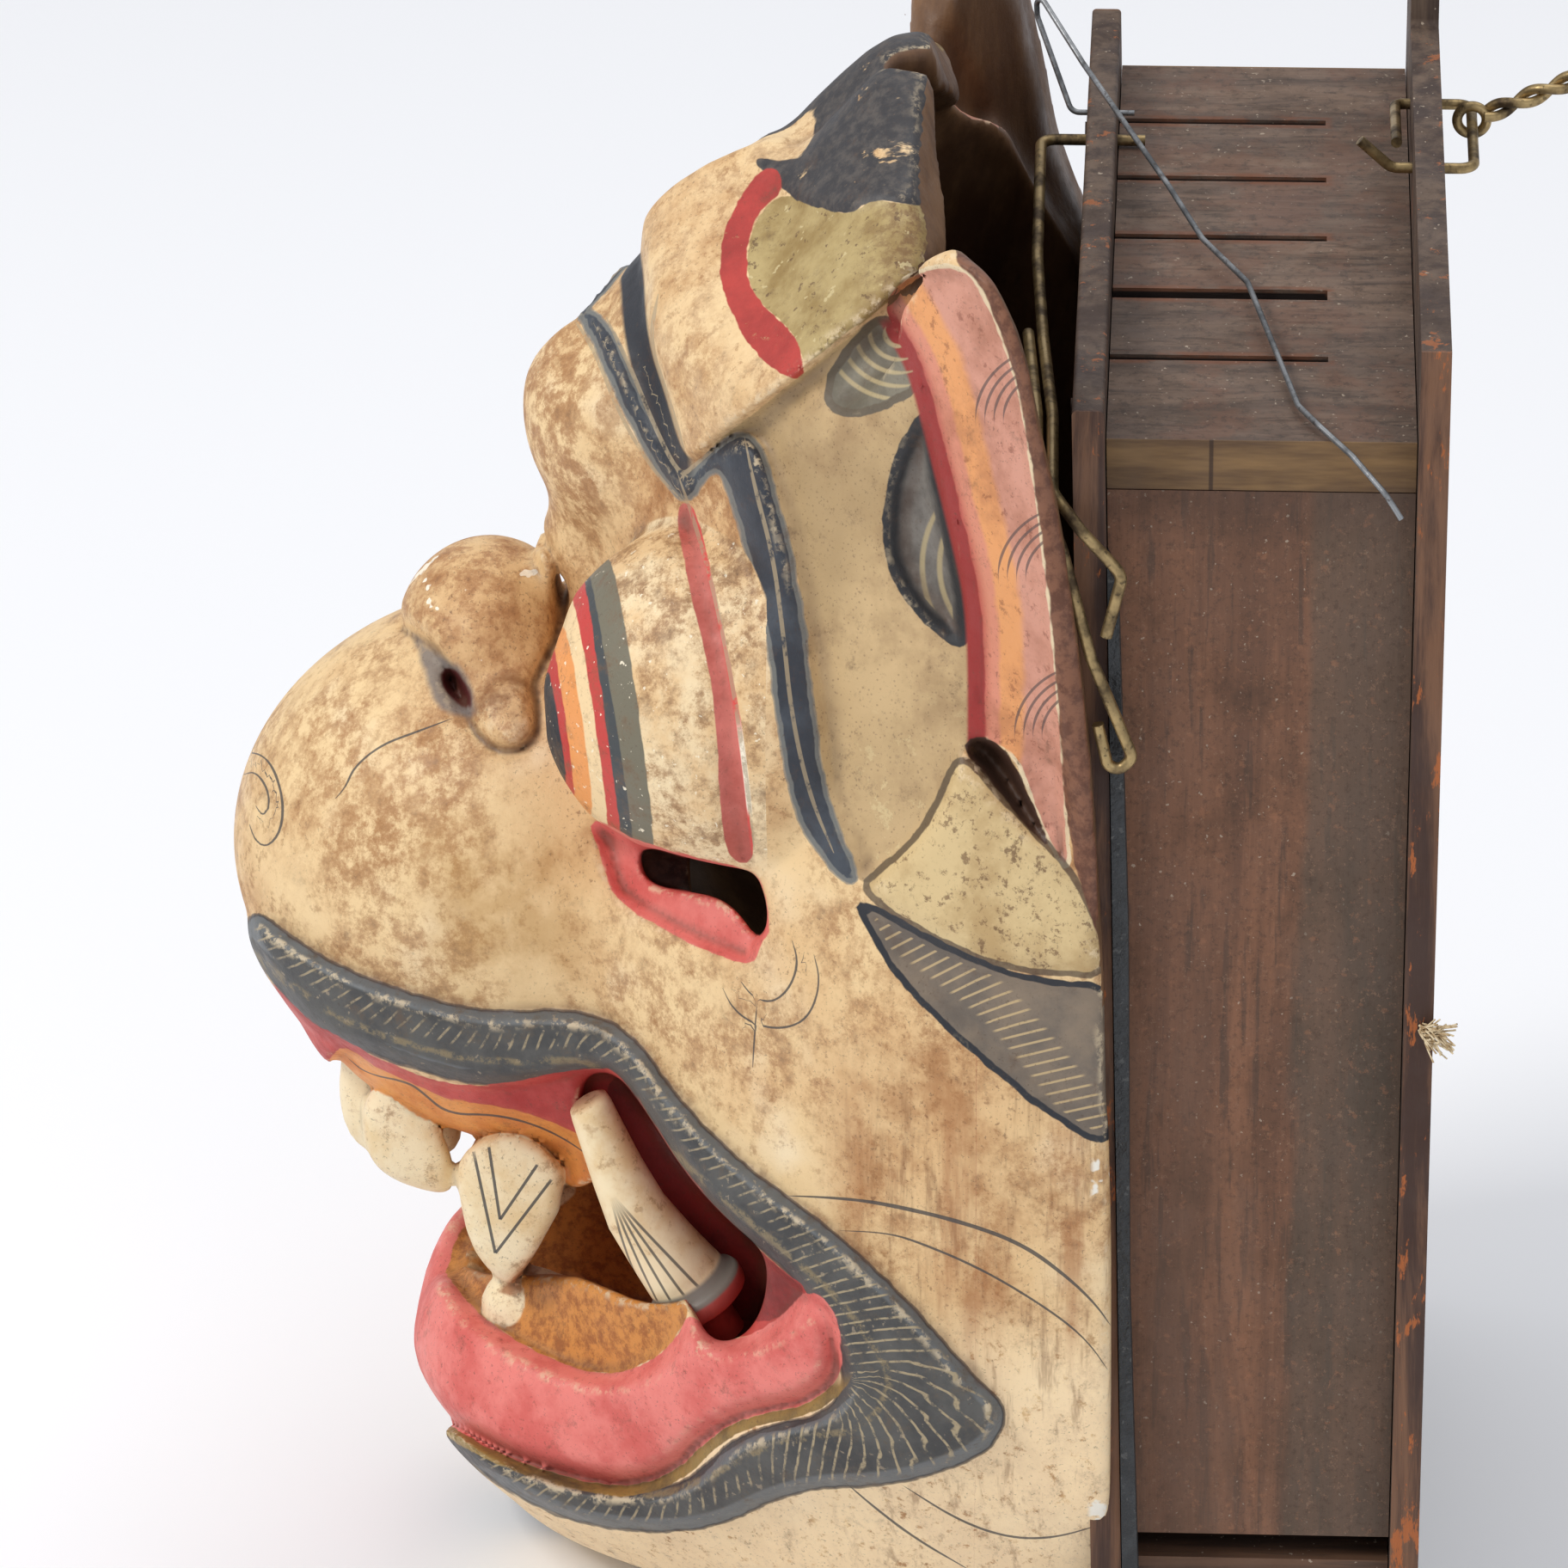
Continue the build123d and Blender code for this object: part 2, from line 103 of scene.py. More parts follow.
cam_data = bpy.data.cameras.new("camera")
cam_data.sensor_width = 36
cam_data.lens = 207.2
cam_data.clip_end = 20
cam = show("camera", cam_data)
R = Vector((-0.049454, 0.998751, -0.007185))
U = Vector((-0.445981, -0.015645, 0.894906))
B = Vector((0.893675, 0.047461, 0.446198))
cam.matrix_world = Matrix(((R.x, U.x, B.x, 1.42171), (R.y, U.y, B.y, -0.03741),
                           (R.z, U.z, B.z, 0.81285), (0, 0, 0, 1)))
bpy.context.scene.camera = cam
bpy.context.scene.view_settings.view_transform = "Standard"


# ---- carved surface ------------------------------------------------------
STEP = 1.15
SIGHT = (1421.7, -37.4, 812.9)


def flat(x, y, z):
    """Side-plane place (mm) of a point, along the lines the relief was carved on."""
    t = SIGHT[0] / (SIGHT[0] - x)
    return SIGHT[1] + t * (y - SIGHT[1]), SIGHT[2] + t * (z - SIGHT[2])


def smooth_line(points, closed, turns=3):
    """Chaikin-rounded copy of a line."""
    p = np.array(points, float)
    for _ in range(turns):
        q = np.vstack([p, p[:1]]) if closed else p
        a = q[:-1] * 0.75 + q[1:] * 0.25
        b = q[:-1] * 0.25 + q[1:] * 0.75
        r = np.empty((2 * len(a), 2))
        r[0::2], r[1::2] = a, b
        p = r if closed else np.vstack([p[:1], r, p[-1:]])
    return p


def line_distance(u, v, p, closed):
    """Distance to a line, the fraction along it and the side."""
    best = np.full(u.shape, 1e9, np.float32)
    along = np.zeros(u.shape, np.float32)
    side = np.ones(u.shape, np.float32)
    q = np.vstack([p, p[:1]]) if closed else p
    seg = np.hypot(*(q[1:] - q[:-1]).T)
    run = np.concatenate([[0], np.cumsum(seg)])
    for i in range(len(q) - 1):
        ax, ay = q[i]
        bx, by = q[i + 1] - q[i]
        n = max(bx * bx + by * by, 1e-9)
        px, py = u - ax, v - ay
        t = np.clip((px * bx + py * by) / n, 0, 1)
        d = (px - t * bx) ** 2 + (py - t * by) ** 2
        m = d < best
        best = np.where(m, d, best)
        along = np.where(m, run[i] + t * seg[i], along)
        side = np.where(m, np.sign(px * by - py * bx), side)
    return np.sqrt(best), along, side, run[-1]


def inside(u, v, p):
    """True within the closed line."""
    hit = np.zeros(u.shape, bool)
    q = np.vstack([p, p[:1]])
    for (ax, ay), (bx, by) in zip(q[:-1], q[1:]):
        if ay == by:
            continue
        c = ((ay > v) != (by > v)) & (u < (bx - ax) * (v - ay) / (by - ay) + ax)
        hit ^= c
    return hit


MAP_STEP = 0.5
MAP_U = np.arange(-222, -40, MAP_STEP)
MAP_V = np.arange(-72, 252, MAP_STEP)
MU, MV = np.meshgrid(MAP_U, MAP_V, indexing="ij")
FIELDS = {}


def area(name, points, turns=2):
    """Signed distance (mm, positive inside) to a closed outline on the side plane."""
    p = smooth_line(points, True, turns)
    d = line_distance(MU, MV, p, True)[0]
    FIELDS[name] = np.where(inside(MU, MV, p), d, -d).astype(np.float32)


def course(name, points, turns=2):
    """Signed distance across an open line, and the distance along it."""
    p = smooth_line(points, False, turns)
    d, along, side, total = line_distance(MU, MV, p, False)
    FIELDS[name] = (d * side).astype(np.float32)
    FIELDS[name + "_along"] = along.astype(np.float32)


def look(field, u, v):
    """Field values at side-plane places."""
    f = FIELDS[field] if isinstance(field, str) else field
    a = np.clip((u - MAP_U[0]) / MAP_STEP, 0, len(MAP_U) - 1.001)
    b = np.clip((v - MAP_V[0]) / MAP_STEP, 0, len(MAP_V) - 1.001)
    i, j = a.astype(int), b.astype(int)
    s, t = a - i, b - j
    return (f[i, j] * (1 - s) * (1 - t) + f[i + 1, j] * s * (1 - t)
            + f[i, j + 1] * (1 - s) * t + f[i + 1, j + 1] * s * t)


def ramp(d, a, b):
    """0 below a, 1 above b, smooth between."""
    t = np.clip((d - a) / (b - a), 0, 1)
    return t * t * (3 - 2 * t)


# outlines on the side plane, mm (front, up)
UPPER_LIP = [(-204.5, 61.5), (-199.5, 55), (-192, 50), (-184.5, 45.7), (-177, 42.7), (-170, 41.3), (-162.5, 42.2),
    (-155, 44.2), (-148, 45.7), (-143.5, 45.2), (-138.5, 37.7), (-131.5, 24.7), (-124, 15), (-113.5, 4.2), (-108.5, 0)]
area("band", [(-208, 77), (-199.5, 69.5), (-189.5, 63.5), (-176, 58.5), (-166, 56.5), (-156, 57), (-149.5, 57),
    (-142.5, 54), (-137, 47.5), (-134, 42), (-125.5, 31), (-116, 22), (-106.5, 14.5), (-96.5, 4.5), (-87, -6.5),
    (-79, -17.5), (-72.5, -24), (-76, -32.5), (-87, -38), (-96.5, -40.5), (-108, -41), (-116.5, -44),
    (-125.5, -49.5), (-136.5, -51.5), (-151, -50), (-161, -45.5), (-170, -39), (-178, -30), (-173, -29),
    (-168.5, -33.5), (-161, -38), (-151, -41.5), (-141, -42.5), (-133, -41), (-128, -36.5), (-123, -31),
    (-116.5, -28), (-106.5, -25.5), (-103, -20.5), (-103.5, -13.5), (-106.5, -6), (-110.5, 1), (-116, 7.5),
    (-124, 14), (-130.5, 22.5), (-135, 31.5), (-141, 41), (-145.5, 46), (-151.5, 44.5), (-159, 42), (-169, 41.5),
    (-180.5, 45), (-188, 48), (-195, 51), (-200.5, 55.5), (-204, 61), (-210, 70)])
area("mouth", [(-214, 72), *UPPER_LIP, (-103.5, -4), (-102.7, -13), (-103, -18), (-105.5, -21), (-110.5, -24.6),
    (-120.8, -26.9), (-128, -32), (-132, -37.8), (-139.5, -42), (-147, -42.4), (-159.8, -38.9), (-171, -33.5),
    (-180, -27), (-196, -18), (-220, 10)])
area("lower_lip", [(-178, 5), (-172.5, 3), (-172, -0.5), (-168, -7), (-159, -13.5), (-147, -18.5), (-137.5, -15),
    (-132.5, -8.5), (-131, -4), (-124.5, -11.5), (-114.5, -6), (-109.5, 1.5), (-104, -4), (-103.2, -13),
    (-103.5, -17.5), (-106, -20.5), (-110.5, -24), (-121, -26.3), (-128.5, -31.7), (-132.5, -37.2), (-139.5, -41.2),
    (-147, -41.7), (-159.5, -38.2), (-170.5, -33), (-178, -27), (-186, -15), (-184, -3)])
area("throat", [(-149, 44.5), (-143.5, 45), (-138.5, 37.5), (-131.5, 24.5), (-124, 15), (-117, 8.5), (-116.5, 2),
    (-118, -5), (-121.5, -10), (-127, -11), (-130.5, -3), (-133, 1), (-137, 9.5), (-144, 24.5), (-150, 38)])
area("gullet", [(-144.5, 25), (-151.5, 16), (-157, 9), (-151, 9), (-147, 3), (-139, -3), (-130.5, -2), (-133.5, 6),
    (-138, 15)], 1)
area("nose", [(-153, 146), (-155.5, 150), (-160, 150.5), (-165, 150), (-170, 148.5), (-174.5, 146), (-179, 142),
    (-182, 137.5), (-180, 133.5), (-176.5, 131), (-174, 129.5), (-172, 126.5), (-170, 121.5), (-168, 115),
    (-165.5, 111), (-162.5, 109), (-159.5, 109.5), (-156.8, 112.5), (-156.8, 118), (-157.5, 122), (-155.5, 126),
    (-153, 132), (-152, 139.5)])
area("outline", [(-240, -120), (-240, 270), (-118, 270), (-112, 224.5), (-108, 225), (-101, 233), (-94, 240.5),
    (-90, 242), (-86, 240), (-84.8, 234), (-84.8, 227), (-82.7, 217), (-82.7, 207), (-81, 204.4), (-78, 202),
    (-75.5, 198.7), (-71, 188.2), (-68, 172), (-64.5, 156), (-61, 131), (-58.5, 106), (-56.5, 72), (-55, 32),
    (-53.5, 2), (-52.5, -57), (-52.5, -120)], 1)
area("outline_far", [(-240, -120), (-240, 150), (-162, 178), (-153.5, 188), (-143, 195.5), (-139, 202), (-135, 209),
    (-126, 217), (-116, 222), (-109, 224), (-101, 233), (-93, 240.5), (-88, 241.5), (-85, 238.5), (-80, 231),
    (-60, 226), (-20, 226), (-20, -120)], 1)
course("eye_rim", [(-131, 164), (-128.5, 155), (-125.5, 143.5), (-122.5, 126.5), (-120, 107), (-118.5, 88.5),
    (-116, 74)], 3)
area("wedge", [(-148, 96), (-142, 93.3), (-139, 91.3), (-130, 88.5), (-118, 86), (-116, 80), (-115.5, 74),
    (-117.3, 70.8), (-118.5, 67.3), (-122, 67.3), (-132.5, 72.3), (-143, 79.3), (-144.7, 84.5), (-146, 90)])
area("slit", [(-138.5, 90.8), (-130, 88), (-122, 86.3), (-118, 85.7), (-116.3, 80.5), (-115.8, 75.5),
    (-117.5, 71.3), (-121, 77.3), (-124.5, 80.3), (-130, 81.4), (-136.5, 82.4), (-138.5, 86)])
area("brow", [(-150, 196), (-143, 192.5), (-138.5, 182), (-135, 172), (-130, 161.5), (-127, 165), (-123.5, 169),
    (-119, 171.5), (-115.5, 167), (-114.5, 161.5), (-111, 147.5), (-109, 133), (-107.5, 116.5), (-105.5, 101),
    (-102, 91), (-99.5, 84), (-102.5, 83), (-108.5, 92), (-111.8, 99.5), (-114.2, 116.5), (-115.5, 130.5),
    (-119.5, 149.5), (-122.5, 160.5), (-124.5, 164.5), (-129.5, 156), (-134.5, 163), (-140, 174), (-144.5, 186),
    (-148, 193)])
area("forehead", [(-139, 214), (-136.5, 204), (-136, 188), (-133, 178), (-130, 166), (-127, 165.5), (-123.5, 169.5),
    (-116.5, 175.5), (-109.5, 181.5), (-103, 187.5), (-96, 193.5), (-92, 198), (-82.5, 206), (-78, 250), (-150, 250)
    ])
area("crown", [(-118, 222.5), (-111.5, 221.5), (-108, 223), (-97, 250), (-70, 250), (-83, 226), (-82.5, 210.5),
    (-85, 213.5), (-92, 214), (-97, 215), (-100.5, 212), (-104, 212.5), (-109.5, 214), (-112, 216.5), (-115, 219)])
area("crescent", [(-113.5, 221.5), (-117.5, 218.5), (-121.5, 211.5), (-123.3, 204), (-122.8, 197.5), (-120, 190),
    (-116.5, 185), (-112.5, 181.5), (-108.5, 181), (-109.5, 188), (-113, 192), (-116.7, 195.5), (-118.8, 200.5),
    (-118.3, 207), (-116.3, 212.5), (-112, 216.5)])
area("gold", [(-111.5, 216), (-116.2, 212.5), (-118.2, 207), (-118.7, 200.5), (-116.7, 195.5), (-113.2, 192.5),
    (-110.2, 189), (-109, 183), (-104, 188), (-96, 194), (-89, 201), (-82, 206), (-82, 210.5), (-85, 213.5),
    (-92, 214), (-97, 215), (-100.5, 212), (-104, 212.5)])
area("temple", [(-127, 166), (-123.5, 169.5), (-116.5, 175.5), (-109.5, 181.5), (-103, 187.5), (-96, 193.5),
    (-92.5, 190.5), (-90.5, 185.5), (-88.5, 179.5), (-85.5, 166.5), (-82, 151.5), (-79.5, 139), (-79, 126.5),
    (-79.5, 114), (-82, 108.5), (-84.5, 101.5), (-89, 92.5), (-95.5, 86), (-99.5, 82.5), (-102, 91), (-105.5, 101),
    (-107.5, 116.5), (-109, 133), (-111, 147.5), (-114.5, 161.5), (-119, 171)])
area("shell", [(-95.5, 193), (-100.5, 188), (-104, 182), (-105, 177.5), (-103, 175), (-98, 175), (-92, 178),
    (-88.8, 181), (-90, 185.5), (-92.5, 190.5)])
area("pocket", [(-88.5, 175), (-92.5, 168), (-94.7, 159), (-95, 147.5), (-91, 139), (-86.5, 133.5), (-80.5, 129.5),
    (-80.5, 139), (-82, 147.5), (-84.5, 160.5), (-86.5, 173.5)])
course("ear_groove", [(-96, 195.5), (-93.5, 191), (-90.5, 185.5), (-88.5, 179.5), (-85.5, 166.5), (-82, 151.5),
    (-79.5, 139), (-79, 126.5), (-79, 111)], 3)
area("ear_band", [(-95, 196), (-90.5, 201), (-84, 203), (-79.5, 200.5), (-76.5, 194), (-73.2, 185), (-71.2, 176),
    (-68.8, 160), (-66.4, 140), (-65, 124), (-64, 110), (-63.2, 98), (-62.6, 86), (-65.2, 90.7), (-69.5, 101.5),
    (-72, 110), (-79, 113), (-79.2, 126.5), (-79.7, 139), (-82.2, 151.5), (-85.7, 166.5), (-88.7, 179.5),
    (-90.7, 185.5), (-93.5, 191)])
area("notch", [(-82, 111), (-79, 113.5), (-74.5, 111.5), (-71.5, 106.5), (-68.3, 98), (-65.4, 90.3), (-68, 92.6),
    (-71.5, 97), (-76.5, 104)], 1)
area("fan", [(-82, 109), (-77.5, 104), (-71, 96), (-65.5, 90), (-60.5, 82.5), (-54, 66.5), (-66.5, 66.8), (-75, 68),
    (-86.5, 73.5), (-99.5, 82.3), (-95.5, 86), (-89, 92.5), (-84.5, 101.5)])
area("leaf", [(-100.5, 81), (-86.5, 72.3), (-75, 66.6), (-66.5, 64.6), (-54, 63.5), (-53, 50.5), (-53.5, 37),
    (-56.5, 31), (-69.5, 41), (-81, 52), (-92.5, 64), (-98.5, 75.5)])
area("wing", [(-166, 121), (-162, 124), (-158, 123), (-156.5, 117), (-156.8, 112), (-159.5, 109.3), (-162.5, 109),
    (-165.5, 111.3), (-167, 116)])
area("nostril", [(-173, 125), (-170, 124.5), (-167.8, 120), (-167.6, 116.2), (-170.5, 117.5), (-173, 121)])
area("nostril_rim", [(-178.5, 132.5), (-175, 128.5), (-172, 126.5), (-169, 125), (-166.8, 118.5), (-166.8, 115),
    (-170.5, 115), (-174.5, 117.5), (-176, 123.5)])
area("eye_groove", [(-131.5, 156), (-130, 146), (-128.5, 137), (-126, 126.5), (-124.6, 112.5), (-124.3, 98.5),
    (-123, 87.5), (-118, 87), (-119.3, 98), (-120, 112.5), (-122, 125.5), (-124.5, 139), (-127, 153), (-129, 158)])
area("gums_up", [(-193, 50), (-185.5, 44), (-178.5, 41), (-173.5, 38.3), (-165.5, 37.6), (-158, 35.6), (-150.5, 32),
    (-145.5, 28), (-143.5, 24.5), (-151, 20), (-154, 23), (-158.5, 28), (-163, 30), (-172.5, 30), (-176, 31),
    (-181, 36), (-189, 41), (-196, 44)])
area("gums_low", [(-178, 8), (-172, 4), (-166.5, 2.5), (-152.5, 3.5), (-147.5, 1.5), (-139, -2.5), (-130.5, -2),
    (-132.3, -8.5), (-137.5, -15), (-147, -18.7), (-159, -13.7), (-168, -7), (-173, -1)])
area("open_mouth", [(-230, 42), (-196, 43), (-189, 41.5), (-181, 37), (-174, 30.5), (-163, 30.2), (-158.5, 28),
    (-154, 23.3), (-151, 20), (-144.3, 25), (-139.5, 17), (-135, 9.5), (-130.5, -2), (-139, -3), (-147.5, 1),
    (-152.5, 3), (-166.5, 2), (-173, 5), (-180, 8), (-230, 8)], 1)
area("near_inc", [(-189, 41), (-181, 39), (-174, 31), (-172.8, 20), (-176.5, 19), (-186, 22.5), (-189.5, 29)])
area("fang", [(-172.3, 27), (-166, 32), (-158.5, 31), (-151.3, 22), (-162.3, 0), (-166.7, 2.5), (-170.7, 9),
    (-172.5, 20)], 1)
area("ear_rim", [(-84, 203.3), (-79.7, 201), (-76.7, 194.3), (-73.4, 185), (-71.4, 176), (-69, 160), (-66.6, 140),
    (-65.2, 124), (-64.2, 110), (-63.4, 98), (-61, 84), (-54.8, 66), (-50, 66), (-50, 210), (-80, 212)])
area("lip_red", [(-216, 74), *UPPER_LIP, (-112, -6), (-124, -11), (-131, -4), (-137, 9), (-143.5, 25), (-150, 20),
    (-160, 28), (-175, 30), (-200, 42), (-216, 56)])
area("tusk_well", [(-146, 40), (-143.5, 45), (-138.5, 37.5), (-131.5, 24.5), (-124, 15), (-113.5, 4), (-109.3, 0.5),
    (-113, -5), (-121, -7), (-128, 0), (-134, 12), (-141, 28)])
course("band_run", [(-209, 73), (-199, 63), (-189, 56), (-176, 51.5), (-166, 49.5), (-156, 50), (-148, 50.5),
    (-139.5, 44), (-131.5, 31), (-123.5, 22.5), (-113, 12.5), (-103, 3), (-95, -8), (-90, -19), (-97, -31),
    (-108, -33.5), (-117, -36), (-125, -41.5), (-136, -47), (-150, -46), (-161, -41.5), (-172, -33)])
course("leaf_run", [(-100.5, 80.5), (-86.5, 69.5), (-75, 60), (-66, 48), (-54, 31)])


# ---- solid shape, mm: half a head on a grid, negative inside ----------------------
GX = np.arange(0, 99, STEP, dtype=np.float32)
GY = np.arange(-214, -38, STEP, dtype=np.float32)
GZ = np.arange(-52, 246, STEP, dtype=np.float32)
BX, BY, BZ = GX[:, None, None], GY[None, :, None], GZ[None, None, :]
GRID = (len(GX), len(GY), len(GZ))
BACK_Y, WIDEST, LOWEST, HIGHEST = -52.9, 95.0, -46.6, 240.7


def smin(a, b, k):
    """Smaller of two fields, blended over k mm."""
    h = np.maximum(k - np.abs(a - b), 0) / k
    return np.minimum(a, b) - h * h * k / 4


def smax(a, b, k):
    return -smin(-a, -b, k)


def table_line(rows, column, z, soft=5.0):
    """Smoothed run of one column of a height table."""
    zs = np.linspace(z.min() - 30, z.max() + 30, 900)
    v = np.interp(zs, [r[0] for r in rows], [r[column] for r in rows])
    n = max(3, int(soft * 2 / (zs[1] - zs[0])))
    bell = np.hanning(n + 2)
    v = np.convolve(np.pad(v, n // 2, "edge"), bell[1:-1] / bell.sum(), "valid")
    return np.interp(z, zs, v[: len(zs)] if len(v) >= len(zs) else np.pad(v, (0, len(zs) - len(v)), "edge"))


def shell_form(rows, power):
    """Distance-like field of a half-round form given by height: (z, half width, back y, front y)."""
    half, back, front = (table_line(rows, i, GZ)[None, None, :] for i in (1, 2, 3))
    f = ((BX / half) ** power + (np.clip(back - BY, 0, None) / (back - front)) ** power) ** (1 / power) - 1
    g = np.gradient(f, STEP)
    d = f / np.clip(np.sqrt(g[0] ** 2 + g[1] ** 2 + g[2] ** 2), 0.004, None)
    return np.maximum(d, BY - back).astype(np.float32)


class Carving:
    """A field that rounded forms are added to."""

    def __init__(self, d):
        self.d = d

    def add(self, lo, hi, fn, k):
        """Adds fn(x, y, z) within the box lo to hi, blended over k mm."""
        s = tuple(slice(max(0, int((a - g[0]) / STEP)), min(len(g), int((b - g[0]) / STEP) + 2))
                  for a, b, g in zip(lo, hi, (GX, GY, GZ)))
        self.d[s] = smin(self.d[s], fn(BX[s[0]], BY[:, s[1]], BZ[:, :, s[2]]), k)

    def egg(self, c, r, k):
        """Ellipsoid at c with radii r."""
        def fn(*p):
            q = [(a - b) / s for a, b, s in zip(p, c, r)]
            k0 = np.sqrt(q[0] ** 2 + q[1] ** 2 + q[2] ** 2)
            k1 = np.sqrt((q[0] / r[0]) ** 2 + (q[1] / r[1]) ** 2 + (q[2] / r[2]) ** 2)
            return k0 * (k0 - 1) / np.maximum(k1, 1e-6)

        reach = max(r) + 8
        self.add([v - reach for v in c], [v + reach for v in c], fn, k)

    def rope(self, a, b, ra, rb, k):
        """Rounded run from a to b, its radius from ra to rb."""
        e = [q - p for p, q in zip(a, b)]

        def fn(*p):
            w = [v - s for v, s in zip(p, a)]
            t = np.clip((w[0] * e[0] + w[1] * e[1] + w[2] * e[2]) / sum(v * v for v in e), 0, 1)
            return np.sqrt(sum((v - t * s) ** 2 for v, s in zip(w, e))) - (ra + (rb - ra) * t)

        reach = max(ra, rb) + 6
        self.add([min(p, q) - reach for p, q in zip(a, b)], [max(p, q) + reach for p, q in zip(a, b)], fn, k)


HEAD = [(-47, 34, -84, -150), (-38, 56, -70, -164), (-20, 76, -52, -170), (10, 90, -52, -168), (38, 94, -52, -166),
        (55, 95, -52, -164), (100, 95.4, -52, -160), (140, 90, -52, -148), (172, 82, -60, -142), (200, 74, -73, -137),
        (217, 60, -80, -131), (230, 42, -85, -112), (240, 16, -86.5, -97), (246, 10, -88, -95)]
HOLLOW = [(-34, 30, -60, -105), (-20, 60, -50, -112), (0, 72, -44, -106), (30, 82, -44, -108), (62, 85, -44, -112),
          (84, 85, -44, -135), (112, 84, -44, -136), (140, 78, -44, -126), (170, 70, -44, -118), (200, 58, -44, -114),
          (216, 44, -60, -110), (230, 16, -70, -98), (236, 6, -78, -94)]

head = Carving(np.maximum(shell_form(HEAD, 1.75), BZ - 240.6))
head.egg((0, -155, 91.5), (45, 55.5, 46), 9)                  # muzzle
head.egg((0, -150, 66), (44, 55, 36), 8)                      # upper jaw
head.egg((0, -143, -8), (44, 37, 30), 12)                     # jaw front
head.egg((0, -128, 176), (27, 29.5, 28), 5)                   # brow boss
head.rope((0, -139, 160), (0, -144.5, 150), 13, 10.5, 5)      # nose root
head.egg((0, -164.5, 131.5), (19, 15, 15.5), 3)               # nose tip
head.egg((16, -159.5, 121), (9.5, 9, 9.5), 2.5)               # nose wing
head.egg((43, -112, 141), (31, 40, 33.5), 1.6)                # eyeball

# ear blade by height (z, mm): its front face, outer and inner edges, and where the head's back lies
EAR_FACE = [(60, 97), (100, 101.5), (122, 104), (139, 106.5), (160, 110.5), (185, 114.2), (246, 116.2)]
EAR_OUT = [(60, 40), (139, 39), (161, 36), (192, 30), (212, 26), (223, 23), (230, 20), (236, 16), (241, 9)]
EAR_INN = [(60, 0), (150, -14), (195, -29), (206, -28), (214, -22), (222, -18), (230, -12), (236, -7), (240, -1)]
BACK = [(0, -45), (140, -45), (172, -60), (200, -73), (217, -80), (230, -85)]
DIAGONAL, EAR_THICK = 0.7071, 12


def by_height(rows, z):
    return np.interp(z, [r[0] for r in rows], [r[1] for r in rows]).astype(np.float32)


def ear(x, y, z):
    """Blade set at 45 degrees."""
    s, n = (x + y) * DIAGONAL, (x - y) * DIAGONAL
    slab = np.maximum(n - by_height(EAR_FACE, z), by_height(EAR_FACE, z) - EAR_THICK - n)
    edge = np.maximum(s - by_height(EAR_OUT, z), by_height(EAR_INN, z) - s)
    return smax(smax(slab, edge, 3), np.maximum(z - 241, 92 - z), 3).astype(np.float32)


def cut_outline(name, u, v, where, k):
    """Trims the head to an outline seen from one side."""
    limit = np.full(GRID, -20, np.float32)
    limit[where] = -look(name, u[where], v[where])
    head.d = smax(head.d, limit, k)


FU, FV = (np.broadcast_to(a, GRID) for a in flat(-BX, BY, BZ))
U3, V3 = (np.broadcast_to(a, GRID) for a in flat(BX, BY, BZ))
cut_outline("outline_far", FU, FV, (FV > 170) & (np.abs(head.d) < 20), 3)
head.add((40, -125, 88), (99, -40, 245), ear, 4)

# relief carved along the side-plane lines: (outline, depth or rise if negative, wall from and to, mm from the edge)
TOP, RELIEF = (sum(depth * ramp(FIELDS[name], a, b) for name, depth, a, b in rows) for rows in (
    (("forehead", -3.2, -0.4, 1.2), ("brow", -1.8, -0.4, 2.2), ("crown", -1.2, -1.2, 1.2)),
    (("temple", 2.2, -1.0, 3.0), ("shell", 1.4, -0.6, 2.5), ("pocket", 3.6, -0.5, 4.0), ("ear_band", 1.8, -0.2, 1.0),
     ("notch", 8.0, -0.3, 2.6), ("fan", -1.6, -0.8, 2.4), ("leaf", 1.8, -0.6, 3.2), ("band", -3.6, -0.5, 2.6),
     ("mouth", 3.4, -0.4, 1.6), ("nose", -1.2, -0.6, 1.6), ("wing", -1.6, -0.5, 2.2), ("nostril", 4.0, -0.3, 1.6),
     ("eye_groove", 1.2, -0.6, 1.6), ("gums_up", 2.2, -0.4, 1.0), ("gums_low", 0.8, -0.8, 1.6),
     ("lower_lip", -4.6, -0.6, 4.5), ("wedge", 3.0, -0.5, 2.4))))
RELIEF = RELIEF + 1.5 * np.exp(-((FIELDS["nose"] + 0.9) / 1.1) ** 2)
RELIEF = RELIEF + 1.4 * np.exp(-(FIELDS["ear_groove"] / 1.8) ** 2) * ramp(FIELDS["ear_groove_along"], 1, 6)
near = np.abs(head.d) < 14
cut = np.zeros(GRID, np.float32)
cut[near] = (look(RELIEF, U3[near], V3[near])
             + look(TOP, U3[near], V3[near]) * ramp(np.broadcast_to(BX, GRID)[near], 69, 63))
# relief belongs to the front: it fades out on the back of the ears
face = (BX - BY) * DIAGONAL - by_height(EAR_FACE, BZ)
head.d = head.d + cut * (1 - ramp(BY - by_height(BACK, BZ), -4, 0) * (1 - ramp(face, -8, -4)))
cut_outline("outline", U3, V3, np.abs(head.d) < 14, 2.4)
head.d = smax(head.d, np.broadcast_to(BY - BACK_Y, GRID), 1.5)
head.d = smax(head.d, np.broadcast_to(np.maximum(np.maximum(BX - WIDEST, LOWEST - BZ), BZ - HIGHEST), GRID), 2.0)

# mouth, cut along the lines of sight of its outlines
nearby = (np.abs(head.d) < 60) & (V3 > -30) & (V3 < 100) & (U3 < -95)


